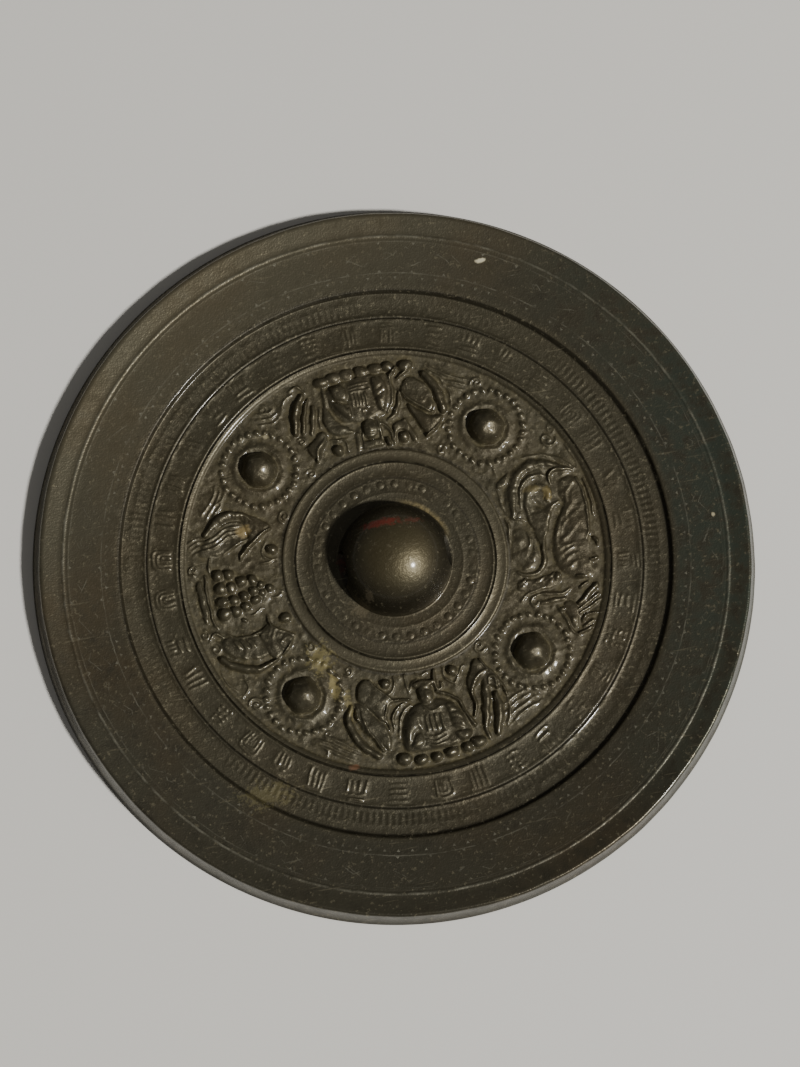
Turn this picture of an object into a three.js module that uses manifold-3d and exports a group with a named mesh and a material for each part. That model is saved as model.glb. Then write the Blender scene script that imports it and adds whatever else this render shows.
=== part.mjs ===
// Cast bronze mirror: a round plate that lies on its plain polished face, with the carved back up.
// The back has, from the rim inwards, a broad flat border, a comb-tooth band, an inscription band,
// a relief zone with four bosses and four scenes, a raised ring, and a pierced domed knob.
// Millimetres, +Z up. The origin is the centre of the polished face, and +X runs along the knob's cord hole.
import * as THREE from "three";
import { mergeVertices } from "three/addons/utils/BufferGeometryUtils.js";
import Module from "manifold-3d";

const wasm = await Module();
wasm.setup();

// Driving dimensions
const faceRadius = 97; // the polished face, the widest part of the mirror
const rimTopRadius = 94.7;
const rimTopHeight = 7.3;
const borderHeight = 6.3; // the broad border, at its outer side
const borderFall = 0.9; // how far the border drops towards the relief
const groundHeight = 3.0; // the plate under the relief
const bandHeight = 3.5; // comb-tooth and inscription bands
const stringHeight = 0.5; // raised string lines beside the inscription
const platformHeight = 3.6; // round the knob
const knobRadius = 15.5;
const knobHeight = 18.6; // above the polished face: nearly half a ball
const holeWidth = 9;
const holeFloor = 3.9;
const holeTop = 10.6;
const bossPlace = 44; // from the centre of the mirror
const bossHeight = 5;

const turnSteps = 56; // facets round the plate
const bossSteps = 16;

// A lathe profile is a list of (radius, height) pairs from the axis to the axis.
function lathe(profile, steps) {
  const points = profile.map(([r, z]) => new THREE.Vector2(r, z));
  return new THREE.LatheGeometry(points, steps).rotateX(Math.PI / 2);
}

// Closed geometry to a manifold solid.
function solid(geometry) {
  const bare = geometry.clone();
  bare.deleteAttribute("normal");
  bare.deleteAttribute("uv");
  const merged = mergeVertices(bare, 1e-4);
  const corners = merged.index.array;
  const kept = [];
  for (let i = 0; i < corners.length; i += 3) {
    const [a, b, c] = [corners[i], corners[i + 1], corners[i + 2]];
    if (a !== b && b !== c && c !== a) kept.push(a, b, c);
  }
  return new wasm.Manifold(
    new wasm.Mesh({
      numProp: 3,
      vertProperties: merged.attributes.position.array,
      triVerts: new Uint32Array(kept),
    }),
  );
}

// The polished face with its small edge chamfer
function faceProfile() {
  const chamfer = 0.5;
  return [
    [0, 0],
    [faceRadius - chamfer, 0],
    [faceRadius, chamfer],
  ];
}

// The rim: a side that leans in, a rounded edge, a border that falls inwards, and a step down
function rimProfile() {
  return [
    [rimTopRadius + 0.3, rimTopHeight - 0.4],
    [rimTopRadius - 0.4, rimTopHeight],
    [89, borderHeight + 0.2],
    [88.4, borderHeight],
    [74.3, borderHeight - borderFall],
    [72.8, bandHeight],
  ];
}

// A raised string line: up one side and down the other
function stringLine(radius, base) {
  const halfWidth = 0.6;
  return [
    [radius + halfWidth, base],
    [radius, base + stringHeight],
    [radius - halfWidth, base],
  ];
}

function bandProfile() {
  return [
    ...stringLine(66.8, bandHeight),
    ...stringLine(57.9, bandHeight),
    [56.2, groundHeight],
  ];
}

// A round ring and a sharp ridge stand round the platform that carries the knob
function centreProfile() {
  return [
    [30.6, groundHeight],
    [29, platformHeight + 0.2],
    [27.6, platformHeight],
    [27, platformHeight + 0.6],
    [26.3, platformHeight],
  ];
}

// The knob is a steep spherical cap that rises from the platform
function knobProfile() {
  const capSteps = 9;
  const rise = knobHeight - platformHeight;
  const sphere = (knobRadius ** 2 + rise ** 2) / (2 * rise);
  const start = Math.asin(knobRadius / sphere);
  const profile = [];
  for (let i = 0; i < capSteps; i += 1) {
    const angle = start * (1 - i / capSteps);
    profile.push([sphere * Math.sin(angle), knobHeight - sphere * (1 - Math.cos(angle))]);
  }
  profile.push([0, knobHeight]);
  return profile;
}

function plate() {
  const back = [...rimProfile(), ...bandProfile(), ...centreProfile(), ...knobProfile()];
  return solid(lathe([...faceProfile(), ...back], turnSteps));
}

// The cord hole through the knob along X, an arch with a flat floor.
function cordHole() {
  const half = holeWidth / 2;
  const springing = holeTop - half * 0.75;
  const arch = new THREE.Shape();
  arch.moveTo(-half, holeFloor);
  arch.lineTo(half, holeFloor);
  arch.lineTo(half, springing);
  arch.absellipse(0, springing, half, holeTop - springing, 0, Math.PI, false);
  arch.closePath();
  const length = 2 * knobRadius + 4;
  const hole = new THREE.ExtrudeGeometry(arch, { depth: length, bevelEnabled: false, curveSegments: 8 });
  hole.translate(0, 0, -length / 2).rotateX(Math.PI / 2).rotateZ(Math.PI / 2);
  return solid(hole);
}

// One boss: a dome in a shallow collar, inside a raised ring that carries the beads
function boss() {
  const top = groundHeight;
  const profile = [
    [0, top - 0.5],
    [10.8, top - 0.5],
    [10.6, top + 0.1],
    [10, top + 0.8],
    [9.2, top + 0.6],
    [8.4, top + 0.2],
    [6.8, top + 0.7],
    [4.9, top + 0.6],
    [4.4, top + 2.8],
    [2.9, top + 4.3],
    [0, top + bossHeight],
  ];
  return solid(lathe(profile, bossSteps));
}

// The pieces of a scene are placed by (across, out): across the scene, and out from the knob.
// A low mound: half an ellipsoid standing on the ground, turned anticlockwise in degrees.
function mound(across, out, halfAcross, halfOut, height, turn = 0, sides = 10) {
  const form = new THREE.SphereGeometry(1, sides, 6).rotateX(Math.PI / 2);
  form.scale(halfOut, halfAcross, height);
  form.rotateZ((turn * Math.PI) / 180);
  return solid(form.translate(out, across, groundHeight - 0.2));
}

// A flat leaf with chamfered sides, outlined by a smooth curve through a few points.
function leaf(outline, height) {
  const bevel = 0.5;
  const curve = new THREE.CatmullRomCurve3(
    outline.map(([across, out]) => new THREE.Vector3(out, across, 0)),
    true,
  );
  const corners = curve.getPoints(outline.length * 3).slice(0, -1);
  const shape = new THREE.Shape(corners.map((p) => new THREE.Vector2(p.x, p.y)));
  const form = new THREE.ExtrudeGeometry(shape, {
    depth: height - bevel + 0.5,
    bevelThickness: bevel,
    bevelSize: bevel,
    bevelOffset: -bevel,
    bevelSegments: 1,
  });
  return solid(form.translate(0, 0, groundHeight - 0.5));
}

// A round ridge that follows a smooth curve through a few points.
function ridge(route, halfWidth, steps) {
  const curve = new THREE.CatmullRomCurve3(
    route.map(([across, out]) => new THREE.Vector3(out, across, groundHeight)),
  );
  const section = new THREE.Shape().absarc(0, 0, halfWidth, 0, 2 * Math.PI);
  const form = new THREE.ExtrudeGeometry(section, {
    extrudePath: curve,
    steps,
    curveSegments: 4,
    bevelEnabled: false,
  });
  return solid(form);
}

// A curled wing beside a seated figure, with a bead at its root: side is 1 or -1.
function wing(side) {
  const feather = [[20, 38], [21.6, 42], [19.5, 47.5], [16.3, 50], [17.6, 44]];
  const crook = [[15, 29.8], [19.4, 35], [14.6, 37.5], [11, 40], [11.6, 35.5]];
  const onSide = ([across, out]) => [side * across, out];
  return [
    leaf(feather.map(onSide), 1.6),
    leaf(crook.map(onSide), 1.2),
    mound(side * 9.2, 32.2, 1.7, 1.4, 1.5),
  ];
}

// A seated figure, head towards the knob: head, robe, two hanging sleeves and a beaded seat.
function seatedFigure() {
  const forms = [
    mound(0, 45.5, 8.4, 9, 1.6, 0, 14),
    mound(-5.6, 45, 2.9, 5.6, 2.4, -8),
    mound(5.6, 45, 2.9, 5.6, 2.4, 8),
    mound(0, 36, 2.3, 2.9, 2.2),
    ...wing(1),
    ...wing(-1),
  ];
  const seatBeads = 7;
  for (let i = 0; i < seatBeads; i += 1) {
    const across = (i - (seatBeads - 1) / 2) * 3.4;
    forms.push(mound(across, 53.2 - across ** 2 * 0.008, 1.9, 1.5, 1.9, 0, 8));
  }
  return forms;
}

// The beaded mound: rows of beads in a shield that narrows towards the knob, over a low bar.
function beadedMound() {
  const rows = [
    [47.3, -5.4, 4],
    [44.1, -4.6, 4],
    [41.1, -2.2, 3],
    [38.4, -1.6, 3],
    [36, 0, 2],
    [33.8, 1, 1],
  ];
  const beadPitch = 3.4;
  const forms = [
    mound(0.5, 42.5, 7.2, 8.4, 1.2, 0, 12),
    mound(1, 53, 5, 1.1, 1.2),
    ...wing(1),
    ...wing(-1),
  ];
  for (const [out, first, count] of rows) {
    for (let i = 0; i < count; i += 1) {
      forms.push(mound(first + i * beadPitch, out, 1.5, 1.4, 2.4, 0, 8));
    }
  }
  return forms;
}

// The beast: a feathered body, a crescent mane round a curled head, a raised neck and a clawed leg.
function beast() {
  const body = [[-15, 44.5], [-8, 40.8], [0, 42.6], [7, 47.5], [14, 51.5], [6, 53.8], [-3, 50.5], [-10, 50]];
  const mane = [[5.5, 34], [12, 33], [17.6, 37.5], [18.6, 44], [16, 49.5]];
  return [
    leaf(body, 1.8),
    ridge(mane, 1.7, 10),
    ridge([[6.6, 42.6], [7, 39.6], [10.4, 38.6], [12.2, 41.4], [9.6, 43.6]], 1.2, 9),
    ridge([[-13, 31], [-12.4, 36], [-9, 40], [-2, 39.4], [4, 37]], 1.2, 9),
    mound(-5, 33.4, 3.6, 2.2, 1.6, 20),
    mound(2, 33.4, 3.4, 1.9, 1.5, -8),
    ridge([[-15, 41], [-20, 44.5], [-17.5, 50.5]], 1.2, 6),
    mound(-24, 44.5, 4, 2.2, 1.3, 15),
  ];
}

// The scenes face out from the knob, each turned to its own quarter.
function turned(forms, degrees) {
  return forms.map((form) => form.rotate([0, 0, degrees]));
}

function reliefForms() {
  const forms = [
    ...turned(beast(), 0),
    ...turned(seatedFigure(), 90),
    ...turned(beadedMound(), 180),
    ...turned(seatedFigure(), 270),
  ];
  for (const angle of [45, 135, 225, 315]) {
    forms.push(boss().translate([bossPlace, 0, 0]).rotate([0, 0, angle]));
  }
  return forms;
}

// A solid back to three.js geometry.
function geometryOf(form) {
  const mesh = form.getMesh();
  const geometry = new THREE.BufferGeometry();
  geometry.setAttribute("position", new THREE.BufferAttribute(new Float32Array(mesh.vertProperties), 3));
  geometry.setIndex(new THREE.BufferAttribute(new Uint32Array(mesh.triVerts), 1));
  geometry.computeVertexNormals();
  return geometry;
}

const cast = wasm.Manifold.union([plate(), ...reliefForms()]).subtract(cordHole());

// Dark tin-bronze with a smooth brown-black patina
const bronze = new THREE.MeshStandardMaterial({ color: 0x4a4438, roughness: 0.45, metalness: 0.7 });
const mirror = new THREE.Mesh(geometryOf(cast), bronze);
mirror.name = "mirror";

const object = new THREE.Group();
object.add(mirror);

export default object;
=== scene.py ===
import math

import bmesh
import bpy
import numpy as np
from mathutils import Matrix, Vector


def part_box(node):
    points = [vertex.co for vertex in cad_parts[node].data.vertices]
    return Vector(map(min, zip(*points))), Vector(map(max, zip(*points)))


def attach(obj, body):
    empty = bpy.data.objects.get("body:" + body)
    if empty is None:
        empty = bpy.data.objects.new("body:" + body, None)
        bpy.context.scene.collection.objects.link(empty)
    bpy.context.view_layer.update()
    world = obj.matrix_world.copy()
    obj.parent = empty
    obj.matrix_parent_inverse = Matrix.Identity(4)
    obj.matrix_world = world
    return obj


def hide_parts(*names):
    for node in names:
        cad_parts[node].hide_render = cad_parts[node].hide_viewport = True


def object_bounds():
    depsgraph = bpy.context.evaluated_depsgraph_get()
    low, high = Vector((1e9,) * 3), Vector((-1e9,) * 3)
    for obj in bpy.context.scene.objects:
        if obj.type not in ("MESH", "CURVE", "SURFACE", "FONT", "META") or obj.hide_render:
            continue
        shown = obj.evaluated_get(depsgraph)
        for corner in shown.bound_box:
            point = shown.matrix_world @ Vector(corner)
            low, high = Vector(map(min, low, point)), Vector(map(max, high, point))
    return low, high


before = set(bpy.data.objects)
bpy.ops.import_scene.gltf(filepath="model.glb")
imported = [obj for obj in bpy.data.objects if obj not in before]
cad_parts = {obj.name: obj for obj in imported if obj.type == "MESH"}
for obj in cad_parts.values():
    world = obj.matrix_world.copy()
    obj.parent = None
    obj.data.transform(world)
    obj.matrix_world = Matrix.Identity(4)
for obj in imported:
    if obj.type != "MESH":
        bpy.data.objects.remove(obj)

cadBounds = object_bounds()
mm = 0.001


# The relief is drawn stroke by stroke into a height map, in millimetres above the plate.
# Strokes are placed by (across, out) in the quarter that the carving faces: across it, and out from the knob.

reliefMap = {
    "reach": 67.0,           # mm from the centre to the edge of the map
    "cell": 0.1,             # mm, the size of one cell
    "softening": 0.19,       # mm, how far the casting rounds every edge
    "wander": 0.16,          # mm, how far the hand-cut lines wander
    "wornAway": 0.26,        # how much of its height the beast's side, at +X, has lost to wear
    "scenes": (30.3, 56.4),  # mm from the centre, where the scenes begin and end
    "ground": (30.6, 56.0),  # mm from the centre, where the lumpy ground between them does
    "lumps": ((0.09, 16), (0.07, 8)),  # of the ground: mm high, cells from one to the next
    "seed": 7,
}


class Carving:
    def __init__(self, reach, cell):
        side = int(round(2 * reach / cell)) + 1
        self.reach = reach
        self.cell = cell
        self.axis = np.linspace(-reach, reach, side)
        self.height = np.zeros((side, side))
        self.angle = 0.0

    def face(self, degrees):
        self.angle = math.radians(degrees)

    def place(self, points):
        points = np.asarray(points, float)
        across, out = points[:, 0], points[:, 1]
        c, s = math.cos(self.angle), math.sin(self.angle)
        return np.stack([out * c - across * s, out * s + across * c], 1)

    def window(self, line, margin):
        low = np.searchsorted(self.axis, line.min(0) - margin)
        high = np.searchsorted(self.axis, line.max(0) + margin)
        rows, columns = slice(low[1], high[1]), slice(low[0], high[0])
        x, y = np.meshgrid(self.axis[columns], self.axis[rows])
        return rows, columns, x, y

    def near(self, line, x, y):
        # Distance to the line at each cell, and how far along it the nearest point is, from 0 to 1
        best = np.full(x.shape, 1e9)
        along = np.zeros(x.shape)
        lengths = np.hypot(*np.diff(line, axis=0).T)
        total = max(lengths.sum(), 1e-9)
        walked = 0.0
        for (ax, ay), (bx, by), length in zip(line[:-1], line[1:], lengths):
            if length < 1e-9:
                continue
            t = np.clip(((x - ax) * (bx - ax) + (y - ay) * (by - ay)) / length ** 2, 0, 1)
            d = np.hypot(x - ax - t * (bx - ax), y - ay - t * (by - ay))
            closer = d < best
            best[closer] = d[closer]
            along[closer] = (walked + t[closer] * length) / total
            walked += length
        return best, along

    def lay(self, rows, columns, form, onTop=False):
        patch = self.height[rows, columns]
        if onTop:
            patch += form
        else:
            np.maximum(patch, form, out=patch)

    # A rounded ridge along a smooth route. widths run from its start to its end.
    def ridge(self, points, widths, height, onTop=False, full=0.6):
        line = self.place(smoothRoute(points))
        widths = np.atleast_1d(np.asarray(widths, float))
        rows, columns, x, y = self.window(line, widths.max())
        d, t = self.near(line, x, y)
        half = np.interp(t, np.linspace(0, 1, len(widths)), widths) / 2
        thin = np.sqrt(half / widths.max() * 2)  # a narrowing ridge also gets lower
        form = height * thin * np.clip(1 - (d / np.maximum(half, 0.05)) ** 2, 0, 1) ** full
        self.lay(rows, columns, form, onTop)

    # A groove cut into what is already there
    def cut(self, points, width, depth):
        self.ridge(points, width, -depth, onTop=True, full=1.0)

    # A raised shape with rounded edges inside a closed outline
    def leaf(self, points, height, edge, crown=0.0):
        line = self.place(smoothRoute(points, closed=True))
        rows, columns, x, y = self.window(line, 0.5)
        d, _ = self.near(line, x, y)
        inside = np.zeros(x.shape, bool)
        for (ax, ay), (bx, by) in zip(line[:-1], line[1:]):
            crosses = (ay > y) != (by > y)
            rise = by - ay if abs(by - ay) > 1e-12 else 1e-12
            inside ^= crosses & (x < (bx - ax) * (y - ay) / rise + ax)
        q = np.clip(d / edge, 0, 1)
        form = height * np.sqrt(1 - (1 - q) ** 2) + crown * np.clip(d / (4 * edge), 0, 1)
        self.lay(rows, columns, np.where(inside, form, 0))

    # Half an ellipsoid, turned anticlockwise in degrees
    def dome(self, across, out, halfAcross, halfOut, height, turn=0.0):
        centre = self.place([(across, out)])
        rows, columns, x, y = self.window(centre, max(halfAcross, halfOut))
        angle = self.angle + math.radians(turn)
        dx, dy = x - centre[0, 0], y - centre[0, 1]
        o = dx * math.cos(angle) + dy * math.sin(angle)
        a = -dx * math.sin(angle) + dy * math.cos(angle)
        q = (a / halfAcross) ** 2 + (o / halfOut) ** 2
        self.lay(rows, columns, height * np.sqrt(np.clip(1 - q, 0, 1)))

    # Short strokes across a route, like the vanes of a feather. A negative height cuts them in.
    def ribs(self, points, count, length, width, height, slant):
        route = smoothRoute(points)
        places = np.linspace(0.06, 0.94, count) * (len(route) - 1)
        for k in places.astype(int):
            heading = route[min(k + 1, len(route) - 1)] - route[k - 1 if k else 0]
            angle = math.atan2(heading[1], heading[0]) + math.radians(slant)
            step = np.array([math.cos(angle), math.sin(angle)]) * length / 2
            self.ridge([route[k] - step, route[k] + step], [width], height, onTop=True)

    # Copies of a route side by side, like locks of a mane or folds of cloth
    def strands(self, points, count, pitch, widths, height, onTop=False):
        route = smoothRoute(points)
        heading = np.gradient(route, axis=0)
        heading /= np.maximum(np.hypot(heading[:, 0], heading[:, 1]), 1e-9)[:, None]
        side = np.stack([-heading[:, 1], heading[:, 0]], 1)
        for k in range(count):
            self.ridge((route + side * pitch * k)[::4], widths, height, onTop)

    def curl(self, across, out, radius, turns, start, width, height, hand=1):
        t = np.linspace(0, 1, int(14 * turns) + 2)
        r = radius * (1 - 0.85 * t)
        a = np.radians(start) + hand * 2 * math.pi * turns * t
        points = np.stack([across + r * np.cos(a), out + r * np.sin(a)], 1)
        self.ridge(points, [width, width * 0.8], height)

    def beads(self, points, count, radius, height):
        route = smoothRoute(points)
        for k in np.linspace(0, len(route) - 1, count).astype(int):
            self.dome(route[k, 0], route[k, 1], radius, radius, height)


def smoothRoute(points, closed=False):
    # A Catmull-Rom curve through the points
    p = np.asarray(points, float)
    if len(p) == 2 and not closed:
        return p[0] + np.linspace(0, 1, 9)[:, None] * (p[1] - p[0])
    if closed:
        p = np.concatenate([p[-1:], p, p[:2]])
    else:
        p = np.concatenate([2 * p[:1] - p[1:2], p, 2 * p[-1:] - p[-2:-1]])
    route = []
    for a, b, c, d in zip(p[:-3], p[1:-2], p[2:-1], p[3:]):
        t = np.linspace(0, 1, 9)[:-1, None]
        route.append(0.5 * (2 * b + (c - a) * t + (2 * a - 5 * b + 4 * c - d) * t ** 2
                            + (3 * b - a - 3 * c + d) * t ** 3))
    route.append(p[-2:-1])
    return np.concatenate(route)


def mirrored(points, side):
    return [(side * across, out) for across, out in points]


# A figure's head: a smooth oval with quiet, worn features under a flat cap
def carveHead(c, across, out):
    c.dome(across, out, 2.3, 2.9, 2.0)
    c.ridge([(across - 1.7, out - 1.7), (across, out - 2), (across + 1.7, out - 1.7)], [0.9], 0.25,
            onTop=True)
    c.cut([(across - 1.5, out - 1), (across, out - 1.2), (across + 1.5, out - 1)], 0.5, 0.22)
    for side in (-1, 1):
        c.cut([(across + side * 0.5, out - 0.1), (across + side * 1.3, out - 0.2)], 0.45, 0.16)
    c.ridge([(across, out - 0.6), (across, out + 0.7)], [0.4, 0.8], 0.18, onTop=True)
    c.cut([(across - 0.6, out + 1.5), (across + 0.6, out + 1.5)], 0.4, 0.14)


def carveRidges(c, ridges, onTop=False):
    # each: route, widths, height
    for route, widths, height in ridges:
        c.ridge(route, widths, height, onTop)


def carveUpperFigure(c):
    c.face(90)
    # robe: the body, a mound for each sleeve, and the scarf that hangs round them
    c.leaf([(9.2, 49), (9, 44), (6.6, 40), (2, 38.8), (-3, 39), (-7, 41.5), (-7.8, 46), (-7.2, 50.4),
            (0, 51)], 0.9, 1.4, 0.2)
    c.leaf([(8.6, 48.6), (6.6, 49.8), (4, 48.8), (3.4, 46.4), (4.6, 44.8), (7.4, 45.4)], 2.0, 1.5, 0.2)
    c.leaf([(8.5, 45.4), (5.2, 44.4), (3.6, 41.4), (4.4, 39.9), (6.4, 41.2)], 1.8, 1.3, 0.2)
    c.cut([(8, 45.8), (6, 45.3), (4.2, 44.1)], 0.6, 0.5)
    c.leaf([(-2.9, 49.4), (-5, 50.3), (-6.8, 48.6), (-7, 45), (-5.6, 41.6), (-3.8, 40.6), (-3.1, 43.6)],
           2.0, 1.6, 0.2)
    c.cut([(-3.2, 44.7), (-4.6, 45.1), (-6, 46)], 0.5, 0.35)
    c.cut([(-3.4, 46.4), (-4.8, 46.9), (-6, 47.9)], 0.45, 0.2)
    c.beads([(-5.3, 42.9), (-4.7, 41)], 3, 0.6, 2.1)
    c.leaf([(11.2, 44.4), (9.8, 43.8), (8.4, 40.8), (5.4, 37.9), (4.4, 36.2), (8.2, 36.2), (10.8, 37.8),
            (11.9, 40.8)], 0.9, 0.9)
    c.leaf([(10.6, 50), (9.8, 49.6), (9.6, 45), (10.8, 44.6)], 0.7, 0.6)
    carveRidges(c, (
        ([(-7.9, 50), (-8.1, 46), (-7.5, 42.6), (-5.8, 39.9)], [1.0, 1.2, 1.2, 0.7], 1.1),
        ([(-9.9, 45.2), (-9.4, 42), (-7.8, 39.2), (-5.4, 38)], [0.7, 1.4, 1.4, 0.8], 1.0),
        ([(-8, 49.8), (-9.2, 50.7), (-10.6, 51.6)], [0.7, 1.1, 0.8], 2.0),
        ([(-10, 48.6), (-11.6, 49.6), (-14.4, 51)], [0.4, 0.7, 0.7], 1.5),
    ))
    # lap and chest
    for across in (2.9, 2.0, 1.1, 0.2, -0.8):
        c.ridge([(across, 43.1), (across, 46.6)], [0.62], 0.4, onTop=True)
    for out in (47.2, 48.1, 48.9):
        c.ridge([(3.2, out), (0.5, out + 0.15), (-2.2, out)], [0.6], 0.35, onTop=True)
    c.ridge([(4.2, 42.6), (4.5, 40.9)], [1.0, 1.2], 1.9)
    c.beads([(1.4, 42.2), (0, 41.4), (-1.2, 42.4)], 4, 0.5, 1.5)
    # seat cushions
    for across, out, half, high in ((10.3, 51.4, 2.4, 1.3), (6.8, 51.9, 2.1, 1.2), (3.1, 52.2, 2.3, 1.1),
                                    (-0.9, 52.4, 2.3, 1.2), (-4.8, 52.5, 2.1, 1.3), (-8.3, 52.2, 1.9, 1.7),
                                    (-13, 51.7, 1.9, 1.9)):
        c.dome(across, out, half, 1.6, high)
    c.cut([(1.1, 50.8), (1, 53.6)], 0.8, 0.4)
    # headdress and the little forms beside it
    c.leaf([(2.3, 31.2), (-3.4, 31.2), (-3, 33.2), (1.8, 33.2)], 0.9, 0.7)
    c.leaf([(3.9, 31.4), (2.8, 31.6), (2.7, 35.6), (3.9, 35.8)], 0.6, 0.5)
    carveRidges(c, (
        ([(2.2, 31.4), (2.1, 33.4), (1.9, 35.6)], [0.5], 0.7),
        ([(-2.4, 39), (-3, 37.4), (-3, 35.2), (-3.4, 33.6)], [0.9, 1.0, 0.6], 1.1),
        ([(-3, 37.6), (-4.6, 36.6), (-5.6, 34.6), (-5.9, 32)], [0.7, 0.9, 0.6], 1.0),
        ([(-4.6, 33), (-4.9, 31.2)], [1.0, 1.2], 1.6),
        ([(7.4, 35.4), (6.4, 34), (6.3, 31.6)], [0.5, 0.7, 0.5], 0.6),
        ([(10.8, 35.6), (9, 35), (7.4, 35.3)], [0.4, 0.7, 0.5], 0.7),
    ))
    # left wing: three long feathers over a bent blade
    carveRidges(c, (
        ([(19.5, 39), (19, 43), (17.6, 46.8), (16.2, 48.6)], [1.6, 2.4, 2.4, 1.6], 1.9),
        ([(17.2, 38.9), (16.5, 42.4), (15.6, 45.6), (14.6, 47.6)], [1.1, 1.5, 1.3, 0.7], 1.3),
        ([(15.2, 38.2), (14.2, 41.6), (13.4, 45.4)], [0.9, 1.5, 1.0], 1.0),
        ([(12.9, 38.9), (12.6, 42), (11.9, 45)], [0.4, 0.7, 0.4], 0.7),
        ([(15, 30.2), (14.6, 32.4), (13.4, 34.6), (11.8, 36.8)], [0.9, 1.5, 1.4, 0.6], 1.7),
        ([(17.6, 34), (15.8, 35.2), (13.4, 37.8)], [0.4, 0.7, 0.5], 0.8),
        ([(18.6, 49.8), (20.4, 49), (21.8, 46.6)], [0.4, 0.8, 0.4], 0.6),
        ([(14.8, 49.4), (17, 51.4), (19.6, 50.4)], [0.4, 0.8, 0.4], 0.7),
    ))
    c.leaf([(17.2, 33.9), (13.2, 37.8), (11.4, 36.6), (13.2, 32.6), (14.8, 30.2)], 1.0, 0.9)
    c.ribs([(19.2, 39.8), (18.6, 43.6), (16.8, 47.2)], 8, 1.3, 0.55, 0.16, 88)
    c.curl(18.3, 36.4, 1.3, 1.3, 40, 0.5, 0.6)
    # right wing: a long blade round an open leaf with a ring in it, and a broad blade below
    c.leaf([(-10.4, 45.3), (-12, 48), (-14.2, 48.4), (-17.4, 45.8), (-18.8, 42.6), (-18.6, 39.4), (-17.2, 38),
            (-14, 40.2), (-12, 42.8)], 0.9, 0.8)
    c.leaf([(-11.6, 41.2), (-12.6, 37.2), (-15.2, 32), (-19.2, 34.6), (-20.2, 36.6), (-17.4, 37.2),
            (-14.2, 39.4)], 1.5, 1.1, 0.2)
    carveRidges(c, (
        ([(-17.2, 48.4), (-19.2, 45.6), (-20.4, 42), (-20.7, 38)], [2.0, 2.8, 2.8, 2.0], 1.9),
        ([(-10.6, 45), (-12.4, 42.1), (-15, 39.7), (-18.2, 37.7)], [0.7, 1.0, 1.0, 0.7], 1.5),
        ([(-15, 31.7), (-17.2, 32.9), (-19.2, 34.6)], [0.8, 0.9, 0.6], 1.9),
        ([(-18.6, 49.4), (-21.6, 46.8), (-23.2, 42.6), (-23.2, 38)], [0.4, 0.8, 0.7, 0.4], 0.6),
        ([(-19.6, 33.2), (-21.8, 35.8), (-23, 39.4)], [0.5, 0.8, 0.5], 0.7),
    ))
    c.ribs([(-11.4, 46.4), (-13.6, 45.6)], 4, 1.9, 0.4, -0.25, 75)
    c.ribs([(-20.9, 43), (-21.2, 38.2)], 5, 1.2, 0.6, 0.16, 90)
    c.curl(-15.4, 42, 1.25, 1.0, 200, 0.5, 1.25)
    c.dome(-15.4, 42, 0.5, 0.5, 1.3)
    # beads in their frames
    c.leaf([(-6.6, 36.2), (-10, 37.7), (-11, 36.2), (-12.8, 31.2), (-11.6, 30.8), (-9.6, 34.2), (-7.2, 34.2),
            (-6.6, 31.2), (-5.9, 31.4)], 0.8, 0.6)
    c.dome(-8.9, 32.4, 1.5, 1.5, 1.6)
    c.dome(9.2, 32.1, 1.6, 1.6, 1.9)
    # scrolls and clouds to each side
    for route, count, pitch in (([(22.4, 44.6), (25, 43), (29.4, 43.2)], 3, 1.5),
                                ([(-29, 44.6), (-25, 46.4), (-19, 50.4)], 3, -1.5)):
        c.strands(route, count, pitch, [0.4, 0.8, 0.4], 0.45)
    c.curl(17.6, 27.4, 1.6, 1.3, 20, 0.55, 0.5)
    c.curl(-18, 27.2, 1.5, 1.1, 160, 0.55, 0.5, -1)
    c.curl(27.4, 47, 1.3, 1.2, 90, 0.5, 0.45)
    c.curl(-31.2, 43.6, 1.6, 1.3, 0, 0.5, 0.5)


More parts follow.
